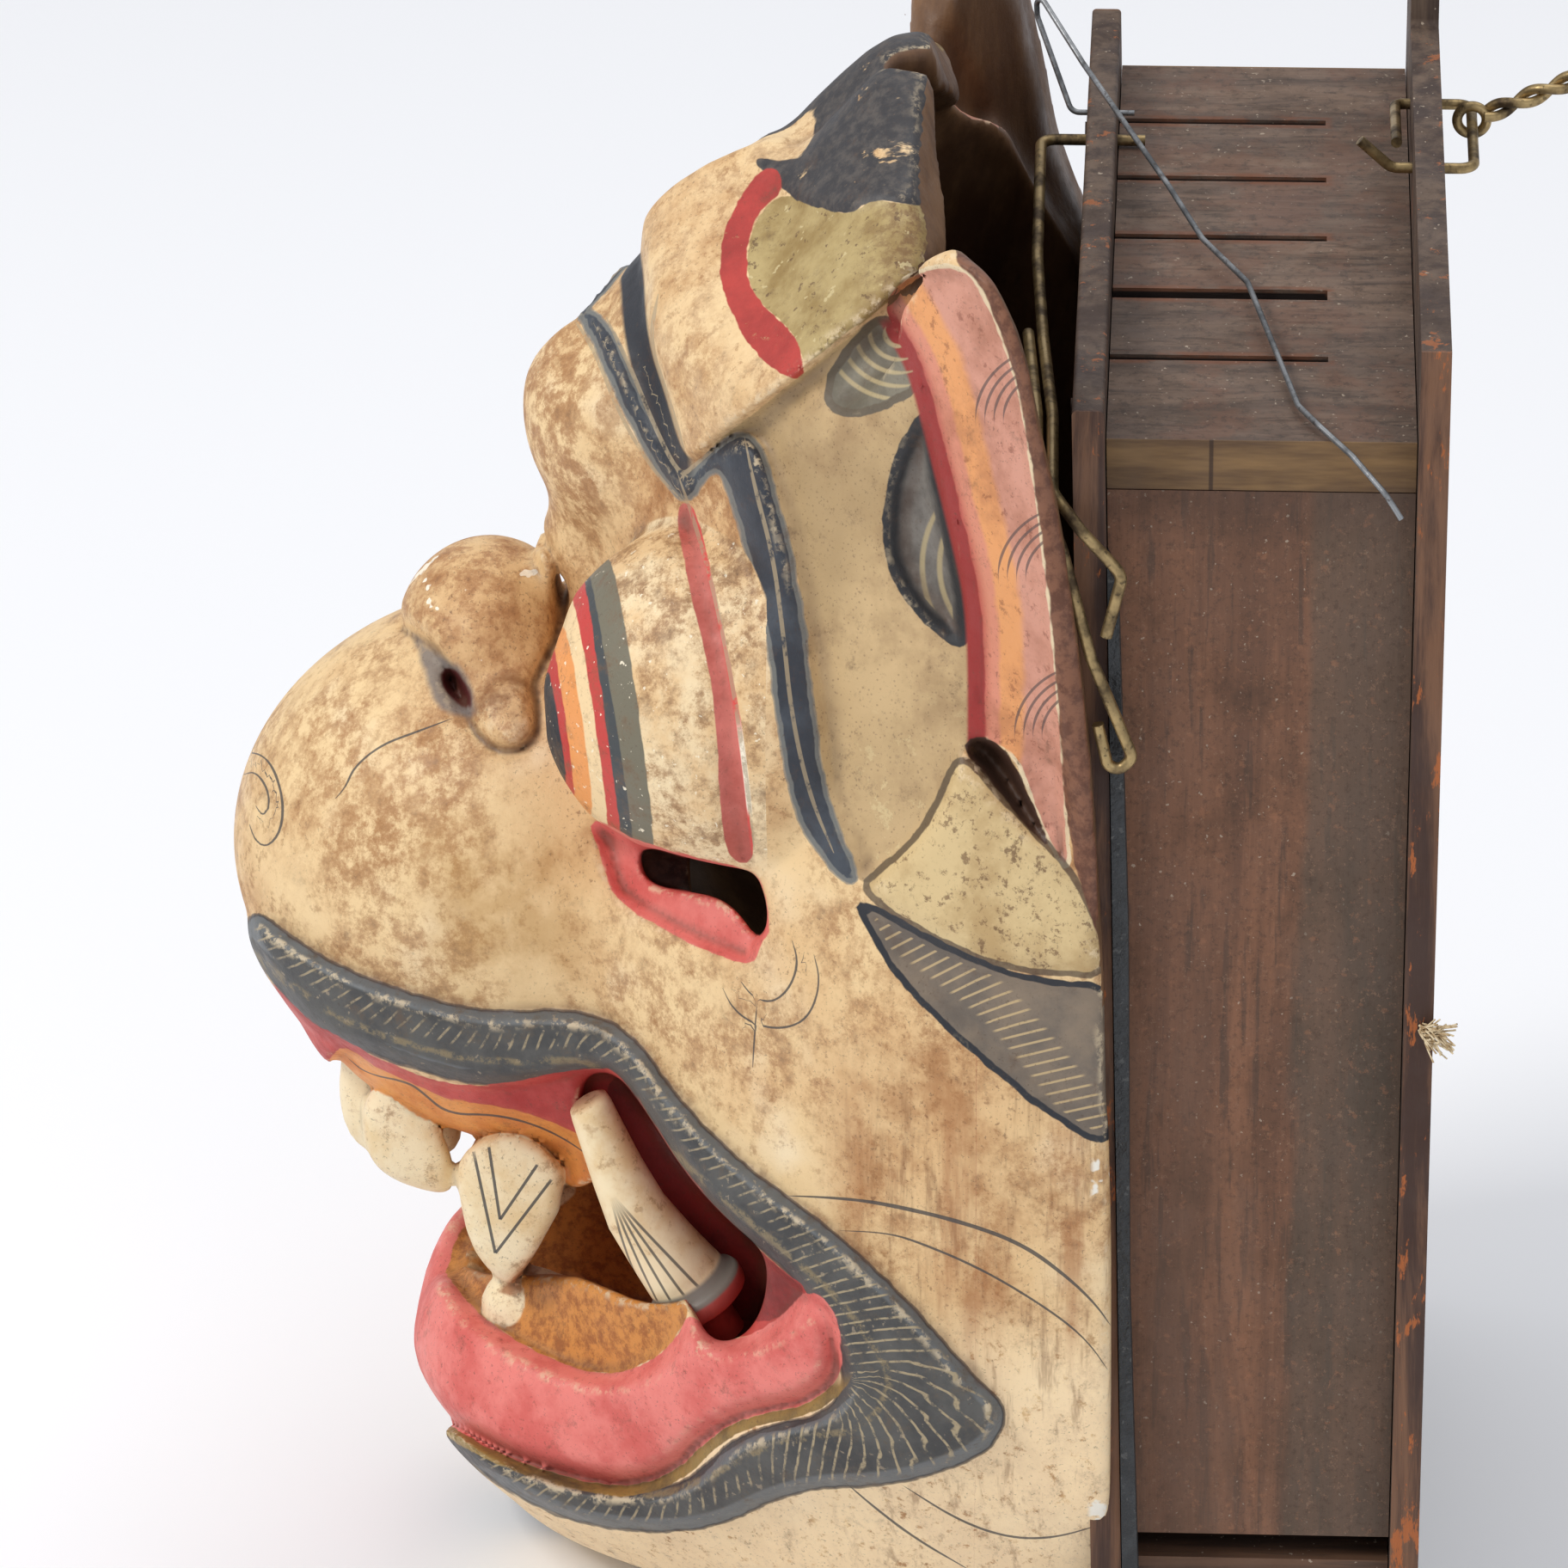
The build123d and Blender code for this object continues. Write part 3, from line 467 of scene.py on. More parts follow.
def view_cut(name, floor):
    """Everything behind an outline on the side plane, down to a floor in x."""
    f = np.full(GRID, 20, np.float32)
    f[nearby] = -look(name, U3[nearby], V3[nearby])
    return np.maximum(f, floor - BX)


head.d = smax(head.d, -np.maximum(view_cut("open_mouth", -9), BX - 50), 1.5)
head.d = smax(head.d, -view_cut("throat", 37), 1.5)
gullet = view_cut("gullet", 12)
head.d = smax(head.d, -gullet, 1.2)
head.d = smax(head.d, -view_cut("slit", 37), 1.0)
teeth = Carving(np.full(GRID, 30, np.float32))
for name, c, r in (("near_inc", (13.5, -180, 40), (10.5, 19, 26)), ("fang", (24.5, -157, 33), (11.5, 22, 30))):
    body = Carving(np.full(GRID, 30, np.float32))
    body.egg(c, r, 0.5)
    teeth.d = np.minimum(teeth.d, smax(body.d, view_cut(name, -9), 2.4))
teeth.egg((4.6, -188, 43), (4.6, 5.0, 12), 0.4)
teeth.egg((19.5, -158.5, 8.2), (7.5, 8.5, 6.2), 0.4)
head.d = smin(head.d, teeth.d, 0.5)
inner = Carving(shell_form(HOLLOW, 2.0))
inner.egg((0, -140, 98), (25, 48, 25), 6)
head.d = smax(head.d, -inner.d, 1.5)


# ---- surface from the shape ------------------------------------------------
def surface(d):
    """Vertices (mm) and quads of the zero surface of a full grid."""
    s = d < 0
    n = np.array(s.shape) - 1
    corners = [(i, j, k) for i in (0, 1) for j in (0, 1) for k in (0, 1)]
    total = sum(s[i:n[0] + i, j:n[1] + j, k:n[2] + k].astype(np.int8) for i, j, k in corners)
    act = np.argwhere((total > 0) & (total < 8))
    ids = np.full(n, -1, np.int32)
    ids[tuple(act.T)] = np.arange(len(act))
    val = {q: d[act[:, 0] + q[0], act[:, 1] + q[1], act[:, 2] + q[2]] for q in corners}
    acc, cnt = np.zeros((len(act), 3)), np.zeros(len(act))
    for q in corners:
        for ax in range(3):
            if q[ax]:
                continue
            far = tuple(1 if i == ax else c for i, c in enumerate(q))
            a, b = val[q], val[far]
            m = (a < 0) != (b < 0)
            p = np.tile(np.array(q, float), (len(act), 1))
            p[:, ax] = np.where(m, a / np.where(m, a - b, 1), 0)
            acc[m] += p[m]
            cnt[m] += 1
    out = np.array([-GX[-1], GY[0], GZ[0]]) + (act + acc / cnt[:, None]) * STEP
    quads = []
    for ax in range(3):
        here = tuple(slice(0, -1) if i == ax else slice(None) for i in range(3))
        there = tuple(slice(1, None) if i == ax else slice(None) for i in range(3))
        e = np.argwhere(s[here] != s[there])
        b, g = (ax + 1) % 3, (ax + 2) % 3
        e = e[(e[:, b] > 0) & (e[:, g] > 0) & (e[:, b] < n[b]) & (e[:, g] < n[g])]
        q = []
        for db, dg in ((1, 1), (0, 1), (0, 0), (1, 0)):
            w = e.copy()
            w[:, b] -= db
            w[:, g] -= dg
            q.append(ids[tuple(w.T)])
        q = np.stack(q, 1)
        flip = ~s[tuple(e.T)]
        q[flip] = q[flip][:, ::-1]
        quads.append(q)
    return out, np.concatenate(quads)


def sample(d, p):
    """Trilinear value of the half grid at points (mm)."""
    at = [np.clip((c - g[0]) / STEP, 0, len(g) - 1.001)
          for c, g in zip((np.abs(p[:, 0]), p[:, 1], p[:, 2]), (GX, GY, GZ))]
    i, j, k = (c.astype(int) for c in at)
    a, b, c = at[0] - i, at[1] - j, at[2] - k
    r = 0
    for di in (0, 1):
        for dj in (0, 1):
            for dk in (0, 1):
                w = (a if di else 1 - a) * (b if dj else 1 - b) * (c if dk else 1 - c)
                r = r + d[i + di, j + dj, k + dk] * w
    return r


def make_mesh(name, v, q):
    me = bpy.data.meshes.new(name)
    me.vertices.add(len(v))
    me.vertices.foreach_set("co", (v * 0.001).astype(np.float32).ravel())
    me.loops.add(q.size)
    me.loops.foreach_set("vertex_index", q.astype(np.int32).ravel())
    me.polygons.add(len(q))
    me.polygons.foreach_set("loop_start", np.arange(0, q.size, q.shape[1], dtype=np.int32))
    me.polygons.foreach_set("use_smooth", np.ones(len(q), bool))
    me.update(calc_edges=True)
    me.validate()
    return show(name, me)


def read(items, key, count, width=1, kind=np.float32):
    """One property of many mesh items as an array."""
    buf = np.empty(count * width, kind)
    items.foreach_get(key, buf)
    return buf.reshape(-1, width) if width > 1 else buf


verts, quads = surface(np.concatenate([head.d[:0:-1], head.d]))
# two relaxing passes keep the carved skin even
ring = np.concatenate([quads[:, [i, (i + 1) % 4]] for i in range(4)])
for _ in range(2):
    acc, cnt = np.zeros_like(verts), np.zeros(len(verts))
    for a, b in ((0, 1), (1, 0)):
        for ax in range(3):
            acc[:, ax] += np.bincount(ring[:, a], weights=verts[ring[:, b], ax], minlength=len(verts))
        cnt += np.bincount(ring[:, a], minlength=len(verts))
    verts = verts + 0.5 * (acc / np.maximum(cnt, 1)[:, None] - verts)


# ---- painted detail held on the surface --------------------------------------
def lin(c):
    """sRGB 0-255 to linear."""
    return tuple(((v / 255) / 12.92 if v / 255 <= 0.04045 else ((v / 255 + 0.055) / 1.055) ** 2.4) for v in c)


# drawn lines as (width, points) on the side plane: whiskers, cheek arcs, nose spiral, gum scallop, cracks
INK = [
    (0.85, [(-113, 20), (-105, 19.8), (-96.5, 19), (-82, 15.5), (-70.5, 11), (-62, 4), (-57, -1.5), (-54.2, -6)]),
    (0.5, [(-104, 13), (-96, 12.8), (-90.5, 11.5), (-77.5, 5.5), (-65, -3), (-58.5, -9), (-54.5, -15.5)]),
    (0.5, [(-103, -39.5), (-98, -44.5), (-90, -51.5), (-80, -58)]),
    (0.5, [(-92.5, -40), (-82, -47.5), (-73, -51), (-64.5, -51), (-55, -47.5)]),
    (0.45, [(-121.5, 64.5), (-119, 60.5), (-115.5, 59.2), (-112.3, 62), (-110.5, 67.5), (-112, 73)]),
    (0.45, [(-124.5, 63), (-122.5, 58), (-118.5, 54.8), (-113.3, 54), (-108.8, 56.3), (-106.6, 63.5), (-108, 70)]),
    (0.5, [(-210, 107), (-206, 107.8), (-203.2, 105), (-201.6, 98), (-202.3, 92), (-204.8, 88.8), (-207, 90),
           (-208, 94)]),
    (0.45, [(-209, 103), (-206.5, 104), (-204.3, 100.5), (-204.2, 96.5), (-205.6, 95), (-206.8, 97.5)]),
    (0.5, [(-192, 47), (-188.5, 43.5), (-181, 42), (-178.5, 40), (-174, 35.5), (-165.5, 35.7), (-158, 33.7),
           (-151.5, 30), (-146.5, 25.5)]),
    (0.45, [(-193, 98), (-190.5, 101), (-189, 105), (-184, 109.5), (-178, 112), (-171, 115)]),
    (0.3, [(-119, 45), (-118.6, 52), (-118, 60)])]
PALE = [
    (0.8, [(-143, 192.5), (-138.5, 182), (-135, 172), (-130.5, 162), (-128, 164.5), (-123.5, 168.5)]),
    (0.8, [(-119.3, 170), (-117.5, 160), (-114.5, 147.5), (-112.8, 132), (-111.5, 116.5), (-108.5, 101), (-104, 89)]),
    (0.7, [(-133.8, 197), (-135.6, 188), (-132.6, 178), (-129.6, 167)]),
    (0.7, [(-149.2, 193), (-145, 186), (-141, 174), (-135, 163), (-130, 157.5)]),
    (0.8, [(-131, 163), (-128.5, 155), (-125.5, 143.5), (-122.4, 126.5), (-119.8, 107), (-118.3, 90)])]


def draw(strokes, taper, u, v):
    """Signed distance across the nearest stroke and its half width there, for points near one."""
    across = np.full(u.shape, 5.0, np.float32)
    width = np.full(u.shape, -1.0, np.float32)
    best = np.full(u.shape, 9.0, np.float32)
    for w, points in strokes:
        p = smooth_line(points, False, 3)
        (lu, lv), (hu, hv) = p.min(0) - 3, p.max(0) + 3
        idx = np.where((u > lu) & (u < hu) & (v > lv) & (v < hv))[0]
        if not len(idx):
            continue
        d, along, side, total = line_distance(u[idx], v[idx], p, False)
        t = along / total
        half = w / 2 * np.clip(np.minimum(t, 1 - t) / taper, 0, 1) ** 0.5
        half = np.where((t <= 0) | (t >= 1), -d, half)
        b = d < best[idx]
        k = idx[b]
        best[k] = d[b]
        across[k] = (d * side)[b]
        width[k] = np.where(d[b] < 2.2, half[b], -1)
    return across, width


# eyeball rings from the tip back: y at the eye's middle, slope outwards and upwards
RINGS = [(-150.5, 0.198, -0.115), (-148.7, 0.15, -0.10), (-146.8, 0.197, -0.093), (-144.3, 0.173, -0.105),
         (-141.8, 0.139, -0.107), (-140.4, 0.154, -0.123), (-137.2, 0.18, -0.095)]
EYE, EYE_SIZE = np.array([43.0, -112.0, 141.0]), np.array([31.6, 40.6, 34.1])
CUT_ONLY = ("outline", "outline_far", "throat", "gullet", "open_mouth", "near_inc", "eye_rim_along")
TOP_ONLY = ("forehead", "crown", "crescent", "gold")


def paint_on(o):
    """Stores the painted layout on a mesh as named values."""
    me = o.data
    n = len(me.vertices)
    p = read(me.vertices, "co", n, 3).astype(np.float64) * 1000
    normal = read(me.vertices, "normal", n, 3)
    ax = np.abs(p[:, 0])
    u, v = flat(ax, p[:, 1], p[:, 2])

    def put(**named):
        for name, values in named.items():
            me.attributes.new(name, "FLOAT", "POINT").data.foreach_set("value", np.asarray(values, np.float32))

    for name in FIELDS:
        if name not in CUT_ONLY:
            value = look(name, u, v)
            put(**{name: np.minimum(value, 66 - ax) if name in TOP_ONLY else value})
    for name, strokes, taper in (("ink", INK, 0.3), ("pale", PALE, 0.15)):
        across, width = draw(strokes, taper, u, v)
        put(**{name: across, name + "_w": width})
    for i, (at, out, up) in enumerate(RINGS):
        put(**{"ring%d" % i: at + out * (ax - EYE[0]) + up * (p[:, 2] - EYE[2]) - p[:, 1]})
    e = (np.stack([ax, p[:, 1], p[:, 2]], 1) - EYE) / EYE_SIZE
    ball = (1 - np.sqrt((e ** 2).sum(1))) * 33
    put(eyeball=np.where(p[:, 1] < EYE[1], ball, -9), tooth=-sample(teeth.d, p), gullet_in=-sample(gullet, p),
        side_u=u, side_v=v)
    # bare wood: inside the hollow and on surfaces that face back
    behind = ((normal[:, 1] > 0.1) & (normal[:, 0] * np.sign(p[:, 0]) < -0.15) & (ax > 60)) | (normal[:, 1] > 0.8)
    behind |= (p[:, 0] < -50) & (normal[:, 0] > -0.25) & (p[:, 2] > 195)
    behind &= (p[:, 1] > -112) & (v > 60)
    put(raw=np.where(behind, 2.0, -np.abs(sample(np.minimum(inner.d, 40), p))))
    # hollows and edges: how far the smoothed surface stands off
    e = read(me.edges, "vertices", len(me.edges), 2, np.int32)
    cnt = np.maximum(np.bincount(e.ravel(), minlength=n), 1)[:, None]
    m = p.copy()
    for _ in range(4):
        acc = np.stack([np.bincount(e[:, 0], weights=m[e[:, 1], c], minlength=n)
                        + np.bincount(e[:, 1], weights=m[e[:, 0], c], minlength=n) for c in range(3)], 1)
        m = 0.3 * m + 0.7 * acc / cnt
    put(hollow=((m - p) * normal).sum(1))


# ---- finishes ------------------------------------------------------------------
class Value:
    """A shader value; + - * / and abs() add the maths nodes."""

    def __init__(self, finish, socket):
        self.finish, self.socket = finish, socket

    def __add__(self, other):
        return self.finish.math("ADD", self, other)

    def __sub__(self, other):
        return self.finish.math("SUBTRACT", self, other)

    def __rsub__(self, other):
        return self.finish.math("SUBTRACT", other, self)

    def __mul__(self, other):
        return self.finish.math("MULTIPLY", self, other)

    def __truediv__(self, other):
        return self.finish.math("DIVIDE", self, other)

    def __abs__(self):
        return self.finish.math("ABSOLUTE", self)

    def span(self, a, b):
        """0 at a, 1 at b, smooth between."""
        n = self.finish.node("MapRange", {"From Min": a, "From Max": b, "Value": self})
        n.interpolation_type = "SMOOTHSTEP"
        return Value(self.finish, n.outputs["Result"])


class Finish:
    """A node material built up in coats."""

    def __init__(self, name, rough, spec):
        self.material = bpy.data.materials.new(name)
        self.material.use_nodes = True
        self.tree = self.material.node_tree
        self.skin = self.tree.nodes["Principled BSDF"]
        self.skin.inputs["Specular IOR Level"].default_value = spec
        self.rough = rough
        self.place = self.node("TexCoord", {}).outputs["Object"]
        self.colour = None
        self.heights = []
        self.roughs = []

    def feed(self, socket, v):
        """Links a value to a socket, or sets the constant there."""
        if isinstance(v, Value):
            v = v.socket
        if isinstance(v, bpy.types.NodeSocket):
            self.tree.links.new(v, socket)
        else:
            socket.default_value = v

    def node(self, kind, inputs):
        n = self.tree.nodes.new("ShaderNode" + kind)
        for key, v in inputs.items():
            self.feed(n.inputs[key], v)
        return n

    def attr(self, name):
        n = self.node("Attribute", {})
        n.attribute_name = name
        return Value(self, n.outputs["Fac"])

    def math(self, op, *values):
        n = self.node("Math", dict(enumerate(values)))
        n.operation = op
        return Value(self, n.outputs[0])

    def stretched(self, stretch, offset=(0, 0, 0)):
        return self.node("Mapping", {"Scale": stretch, "Location": offset, "Vector": self.place}).outputs[0]

    def noise(self, scale, detail=4, rough=0.55, stretch=(1, 1, 1), distort=0.0, offset=(0, 0, 0)):
        n = self.node("TexNoise", {"Scale": scale, "Detail": detail, "Roughness": rough, "Distortion": distort,
                                   "Vector": self.stretched(stretch, offset)})
        return Value(self, n.outputs["Fac"])

    def pores(self, scale):
        n = self.node("TexVoronoi", {"Scale": scale, "Vector": self.stretched((1, 1, 1))})
        n.feature = "F1"
        return Value(self, n.outputs["Distance"])

    def mix(self, a, b, f):
        """Colour a where f is 0, b where f is 1."""
        n = self.tree.nodes.new("ShaderNodeMix")
        n.data_type = "RGBA"
        for i, v in ((0, f), (6, a), (7, b)):
            self.feed(n.inputs[i], (*lin(v), 1) if isinstance(v, tuple) else v)
        return n.outputs[2]

    def coat(self, f, c, strength=1.0):
        """Covers the colour so far with c where f is 1."""
        self.colour = self.mix(self.colour, c, f if strength == 1.0 else f * strength)

    def arcs(self, u, v, centre, first, step, count, turn, width, soft=0.06):
        """Arcs about a centre on the side plane: first radius, spacing, count, start and end angle."""
        du, dv = u - centre[0], v - centre[1]
        i = (self.math("SQRT", du * du + dv * dv) - first) / step
        near = abs(self.math("FRACT", i + 0.5) - 0.5)
        mid, half = (turn[0] + turn[1]) / 2, (turn[1] - turn[0]) / 2
        off = abs(self.math("WRAP", self.math("ARCTAN2", dv, du) - mid, math.pi, -math.pi))
        line = off.span(half, half * 0.4) * (width / 2) - near * step
        return (line.span(-soft, soft) * i.span(-0.5, -0.45) * i.span(count - 0.5, count - 0.55)
                * off.span(half, half * 0.98))

    def segment(self, u, v, a, b, width):
        """Straight drawn line between two side-plane places."""
        du, dv = u - a[0], v - a[1]
        n = math.dist(a, b)
        ex, ey = (b[0] - a[0]) / n, (b[1] - a[1]) / n
        along = du * ex + dv * ey
        off = abs(du * ey - dv * ex)
        return off.span(width / 2 + 0.06, width / 2 - 0.06) * along.span(-0.1, 0.2) * along.span(n + 0.1, n - 0.2)

    def total(self, parts):
        out = None
        for v, share in parts:
            out = v * share if out is None else out + v * share
        return out

    def done(self, bump=0.2, dist=0.0006, metal=0.0):
        """Joins colour, bump and roughness to the shader."""
        self.feed(self.skin.inputs["Base Color"], self.colour)
        self.skin.inputs["Metallic"].default_value = metal
        if self.heights:
            n = self.node("Bump", {"Strength": bump, "Distance": dist, "Height": self.total(self.heights)})
            self.feed(self.skin.inputs["Normal"], n.outputs[0])
        rough = self.rough
        if self.roughs:
            rough = self.total(self.roughs) + self.rough
            rough.socket.node.use_clamp = True
        self.feed(self.skin.inputs["Roughness"], rough)
        return self.material


def mask_finish():
    """Painted layout, age stains, drawn lines, and painted shade and light of the carved head; lengths in mm, colours
    sRGB.
    """
    k = Finish("aged_painted_wood", 0.42, 0.45)
    big, mid, fine = k.noise(22, 4, 0.6), k.noise(75, 5, 0.65), k.noise(420, 4, 0.7)
    streak = k.noise(95, 5, 0.7, stretch=(1, 1, 0.16))
    grit, patch = k.noise(190, 7, 0.8), k.noise(32, 6, 0.72, offset=(0.7, 0.2, 0))
    wob = (k.noise(260, 2) - 0.5) * 1.1
    U, V = k.attr("side_u"), k.attr("side_v")

    def on(name, edge=0.0, soft=0.14, rugged=1.0):
        """1 inside an outline, its edge unsteady like a brush line."""
        return (k.attr(name) + wob * rugged).span(edge - soft, edge + soft)

    def rim(name, a, b, soft=0.14):
        return on(name, a, soft) * (1 - on(name, b, soft))

    def tones(a, b, lo=0.35, hi=0.65, by=mid):
        return k.mix(a, b, by.span(lo, hi))

    def ticks(run):
        return abs(k.math("FRACT", run) - 0.5)

    # aged cream ground, stained in the hollows of the relief, with painted floor light under the jaw
    k.colour = tones((233, 202, 152), (214, 172, 120), 0.35, 0.7, big)
    k.coat(k.noise(40, 3, offset=(0.3, 0.1, 0.2)).span(0.52, 0.78), (244, 226, 192), 0.7)
    k.coat(mid.span(0.47, 0.66) * big.span(0.4, 0.62), (166, 114, 68), 0.68)
    k.coat(fine.span(0.52, 0.68) * mid.span(0.4, 0.62), (140, 92, 50), 0.55)
    k.coat(k.noise(900, 3, 0.6).span(0.6, 0.7) * big.span(0.42, 0.6), (112, 70, 38), 0.6)
    k.coat(patch.span(0.4, 0.56) * grit.span(0.42, 0.58), (162, 112, 66), 0.66)
    k.coat(abs(U + 183).span(26, 8) * abs(V - 100).span(26, 8) * grit.span(0.38, 0.58), (168, 116, 66), 0.6)
    k.coat(V.span(196, 184) * V.span(146, 158) * U.span(-118, -128) * grit.span(0.4, 0.58), (164, 112, 64), 0.55)
    low = V.span(62, 30) * U.span(-112, -92)
    k.coat(streak.span(0.44, 0.64) * low, (168, 112, 66), 0.66)
    # painted light: floor light reflected up, painted as paler cream on the underside of the jaw
    k.coat(V.span(2, -22) * (1 - fine.span(0.56, 0.7)), (250, 224, 182), 0.75)
    k.coat(k.noise(300, 4, 0.7, stretch=(1, 1, 0.12)).span(0.52, 0.7) * low, (120, 74, 38), 0.5)
    k.coat(mid.span(0.3, 0.6) * abs(U + 163).span(22, 4) * abs(V - 78).span(26, 6), (172, 126, 62), 0.55)
    # forehead, gold plate, crown hair and red crescent
    k.coat(on("forehead"), tones((236, 208, 164), (206, 166, 118), 0.4, 0.66), 0.35)
    k.coat(on("forehead") * fine.span(0.54, 0.66), (150, 104, 62), 0.4)
    gold = on("gold")
    k.coat(gold, tones((182, 160, 108), (146, 120, 70)))
    k.coat(gold * U.span(-104, -88) * fine.span(0.4, 0.6), (112, 78, 46), 0.8)
    k.coat(gold * k.noise(520, 4, 0.7).span(0.6, 0.66), (90, 62, 40), 0.7)
    k.coat(gold * k.noise(330, 3, 0.6, offset=(1, 0, 0)).span(0.64, 0.68), (206, 188, 140), 0.7)
    lost = k.noise(160, 5, 0.7, stretch=(1, 0.35, 1)).span(0.6, 0.66) * k.attr("crown").span(2, 4)
    k.coat(on("crown") * (1 - lost), tones((52, 50, 52), (84, 78, 74), 0.4, 0.7, fine))
    k.coat(on("crown") * k.noise(120, 4, 0.75, stretch=(0.5, 1, 1), offset=(2, 0, 0)).span(0.66, 0.7),
           (176, 140, 98), 0.75)
    k.coat(on("crescent") * (1 - fine.span(0.62, 0.7) * mid.span(0.45, 0.6)), tones((186, 62, 54), (158, 50, 44)))
    # temple and ear
    temple = on("temple")
    k.coat(temple, tones((204, 174, 128), (172, 144, 102), by=big))
    k.coat(temple * mid.span(0.42, 0.7), (146, 116, 82), 0.6)
    k.coat(temple * k.pores(900).span(0.22, 0.12), (96, 68, 44), 0.35)
    k.coat(temple * V.span(128, 100) * k.noise(200, 5, 0.8).span(0.58, 0.64), (212, 190, 142), 0.7)
    k.coat(rim("shell", -0.9, 0.9), (74, 72, 66), 0.85)
    k.coat(on("shell", 0.6), tones((128, 122, 106), (104, 98, 84), 0.4))
    k.coat(on("pocket", -0.5), (42, 42, 44))
    k.coat(on("pocket", 2.4, 0.9), tones((126, 120, 112), (92, 86, 80), 0.4))
    groove = k.attr("ear_groove")
    across = groove * -1.0
    band = k.mix((176, 62, 58), (214, 138, 112), across.span(0.4, 3.0))
    band = k.mix(band, (226, 156, 98), (across + wob).span(3.6, 4.6))
    band = k.mix(band, (208, 148, 126), (across + wob).span(7.6, 9.0))
    k.coat(on("ear_band"), band)
    k.coat(on("ear_band") * mid.span(0.44, 0.68), (150, 92, 66), 0.5)
    k.coat(on("ear_band") * fine.span(0.58, 0.68), (120, 62, 44), 0.5)
    k.coat(abs(groove).span(2.0, 1.2) * k.attr("ear_groove_along").span(2, 5) * (1 - on("ear_band", 1.5)),
           (150, 44, 40))
    k.coat(rim("ear_band", -0.55, 0.25, 0.1) * across.span(5, 7), (224, 204, 168), 0.9)
    for centre in ((-65.5, 174), (-61.5, 144), (-58.5, 113.5)):
        k.coat(k.arcs(U, V, centre, 9.0, 1.6, 4, (1.75, 3.25), 0.5), (92, 74, 70), 0.8)
    k.coat(k.arcs(U, V, (-92.5, 190), 2.5, 2.5, 5, (2.6, 5.3), 0.8, 0.2) * on("shell", 0.8), (186, 168, 128), 0.85)
    k.coat(k.arcs(U, V, (-66, 146), 10.5, 3.0, 5, (2.2, 4.4), 0.9, 0.25) * on("pocket", 2.6), (176, 158, 120), 0.85)
    k.coat(on("fan"), tones((214, 188, 138), (184, 154, 106), 0.38, 0.66))
    k.coat(on("fan") * k.noise(380, 5, 0.75).span(0.54, 0.62), (112, 80, 50), 0.7)
    k.coat(rim("fan", -1.2, 0.1), (64, 54, 44), 0.8)
    k.coat(on("notch", 0.1), (70, 46, 34))
    # grey leaf with pale ticks
    k.coat(on("leaf"), tones((104, 94, 84), (134, 118, 100)))
    k.coat(rim("leaf", -0.6, 0.7), (38, 40, 46))
    run = k.attr("leaf_run")
    tick = ticks(k.attr("leaf_run_along") * (1 / 2.3) + run * 0.16)
    k.coat(tick.span(0.14, 0.07) * on("leaf", 1.6) * abs(run).span(4.4, 3.2), (196, 170, 126), 0.85)
    # brow, and painted shadow under the forehead's edge
    k.coat(on("brow"), tones((46, 50, 58), (70, 76, 84), 0.4, 0.7))
    k.coat(rim("brow", -0.3, 0.75), (126, 126, 120), 0.75)
    above = k.attr("forehead")
    # painted shadow: a near black strip just below the forehead's raised front edge, where its step is in shade
    k.coat(above.span(-4.4, -3.6) * above.span(0.4, -0.2) * U.span(-127.5, -129.5) * V.span(160, 164), (44, 46, 52))
    # eyeball, ringed from the back to the tip
    ball = k.attr("eyeball").span(-0.9, -0.5)
    eye = tones((226, 190, 140), (238, 214, 172), 0.4, 0.62)
    eye = k.mix(eye, (158, 110, 64), grit.span(0.42, 0.58) * patch.span(0.34, 0.54) * 0.75)
    rings = ((116, 110, 92), (66, 70, 72), (196, 64, 58), (236, 206, 158), (230, 152, 84), (188, 52, 46), (34, 36, 42))
    for i, c in enumerate(rings):
        eye = k.mix(eye, c, (k.attr("ring%d" % (6 - i)) + wob * 0.5).span(-0.12, 0.12))
    k.coat(ball, eye)
    k.coat(ball * grit.span(0.48, 0.68), (126, 92, 62), 0.4)
    k.coat(k.noise(700, 3, 0.6, offset=(4, 1, 0)).span(0.66, 0.69) * ball, (244, 232, 206), 0.85)
    # red groove behind the eyeball, pink corner, and painted shade in the slit
    line = k.attr("eye_rim")
    groove = on("eye_groove", 0.0, 0.14, 0.5)
    k.coat(groove, tones((206, 112, 100), (176, 84, 72)))
    k.coat(groove * abs(line + 0.9).span(1.5, 0.9), (214, 72, 66))
    k.coat(abs(line + 0.2).span(0.6, 0.3) * V.span(96, 99) * V.span(118, 110), (246, 236, 214))
    k.coat(on("wedge"), tones((224, 122, 112), (204, 90, 82)))
    # painted shade: the walls of the slit and what shows through it painted dark brown
    k.coat(on("slit", 0.2, 0.14, 0.0), tones((52, 40, 34), (84, 68, 56), 0.45, 0.6, fine))
    # nose, with painted shade under it
    nose = k.attr("nose")
    # painted shade: darker brown in the groove around the lower half of the nose
    k.coat(nose.span(-1.6, -0.8) * nose.span(0.5, -0.2) * V.span(134, 128), (110, 78, 52), 0.6)
    k.coat(on("nose", 0.5, 1.0) * grit.span(0.46, 0.64), (176, 122, 76), 0.5)
    k.coat(on("nostril_rim", 0.2, 0.8), (112, 106, 104), 0.85)
    k.coat(on("nostril", 0.0, 0.4), (84, 28, 26))
    k.coat(on("wing", -0.4, 1.2) * mid.span(0.36, 0.56), (122, 74, 36), 0.75)
    k.coat(k.noise(150, 3, 0.6, offset=(0, 3, 0)).span(0.66, 0.675) * on("nose", 1.5), (248, 238, 218), 0.9)
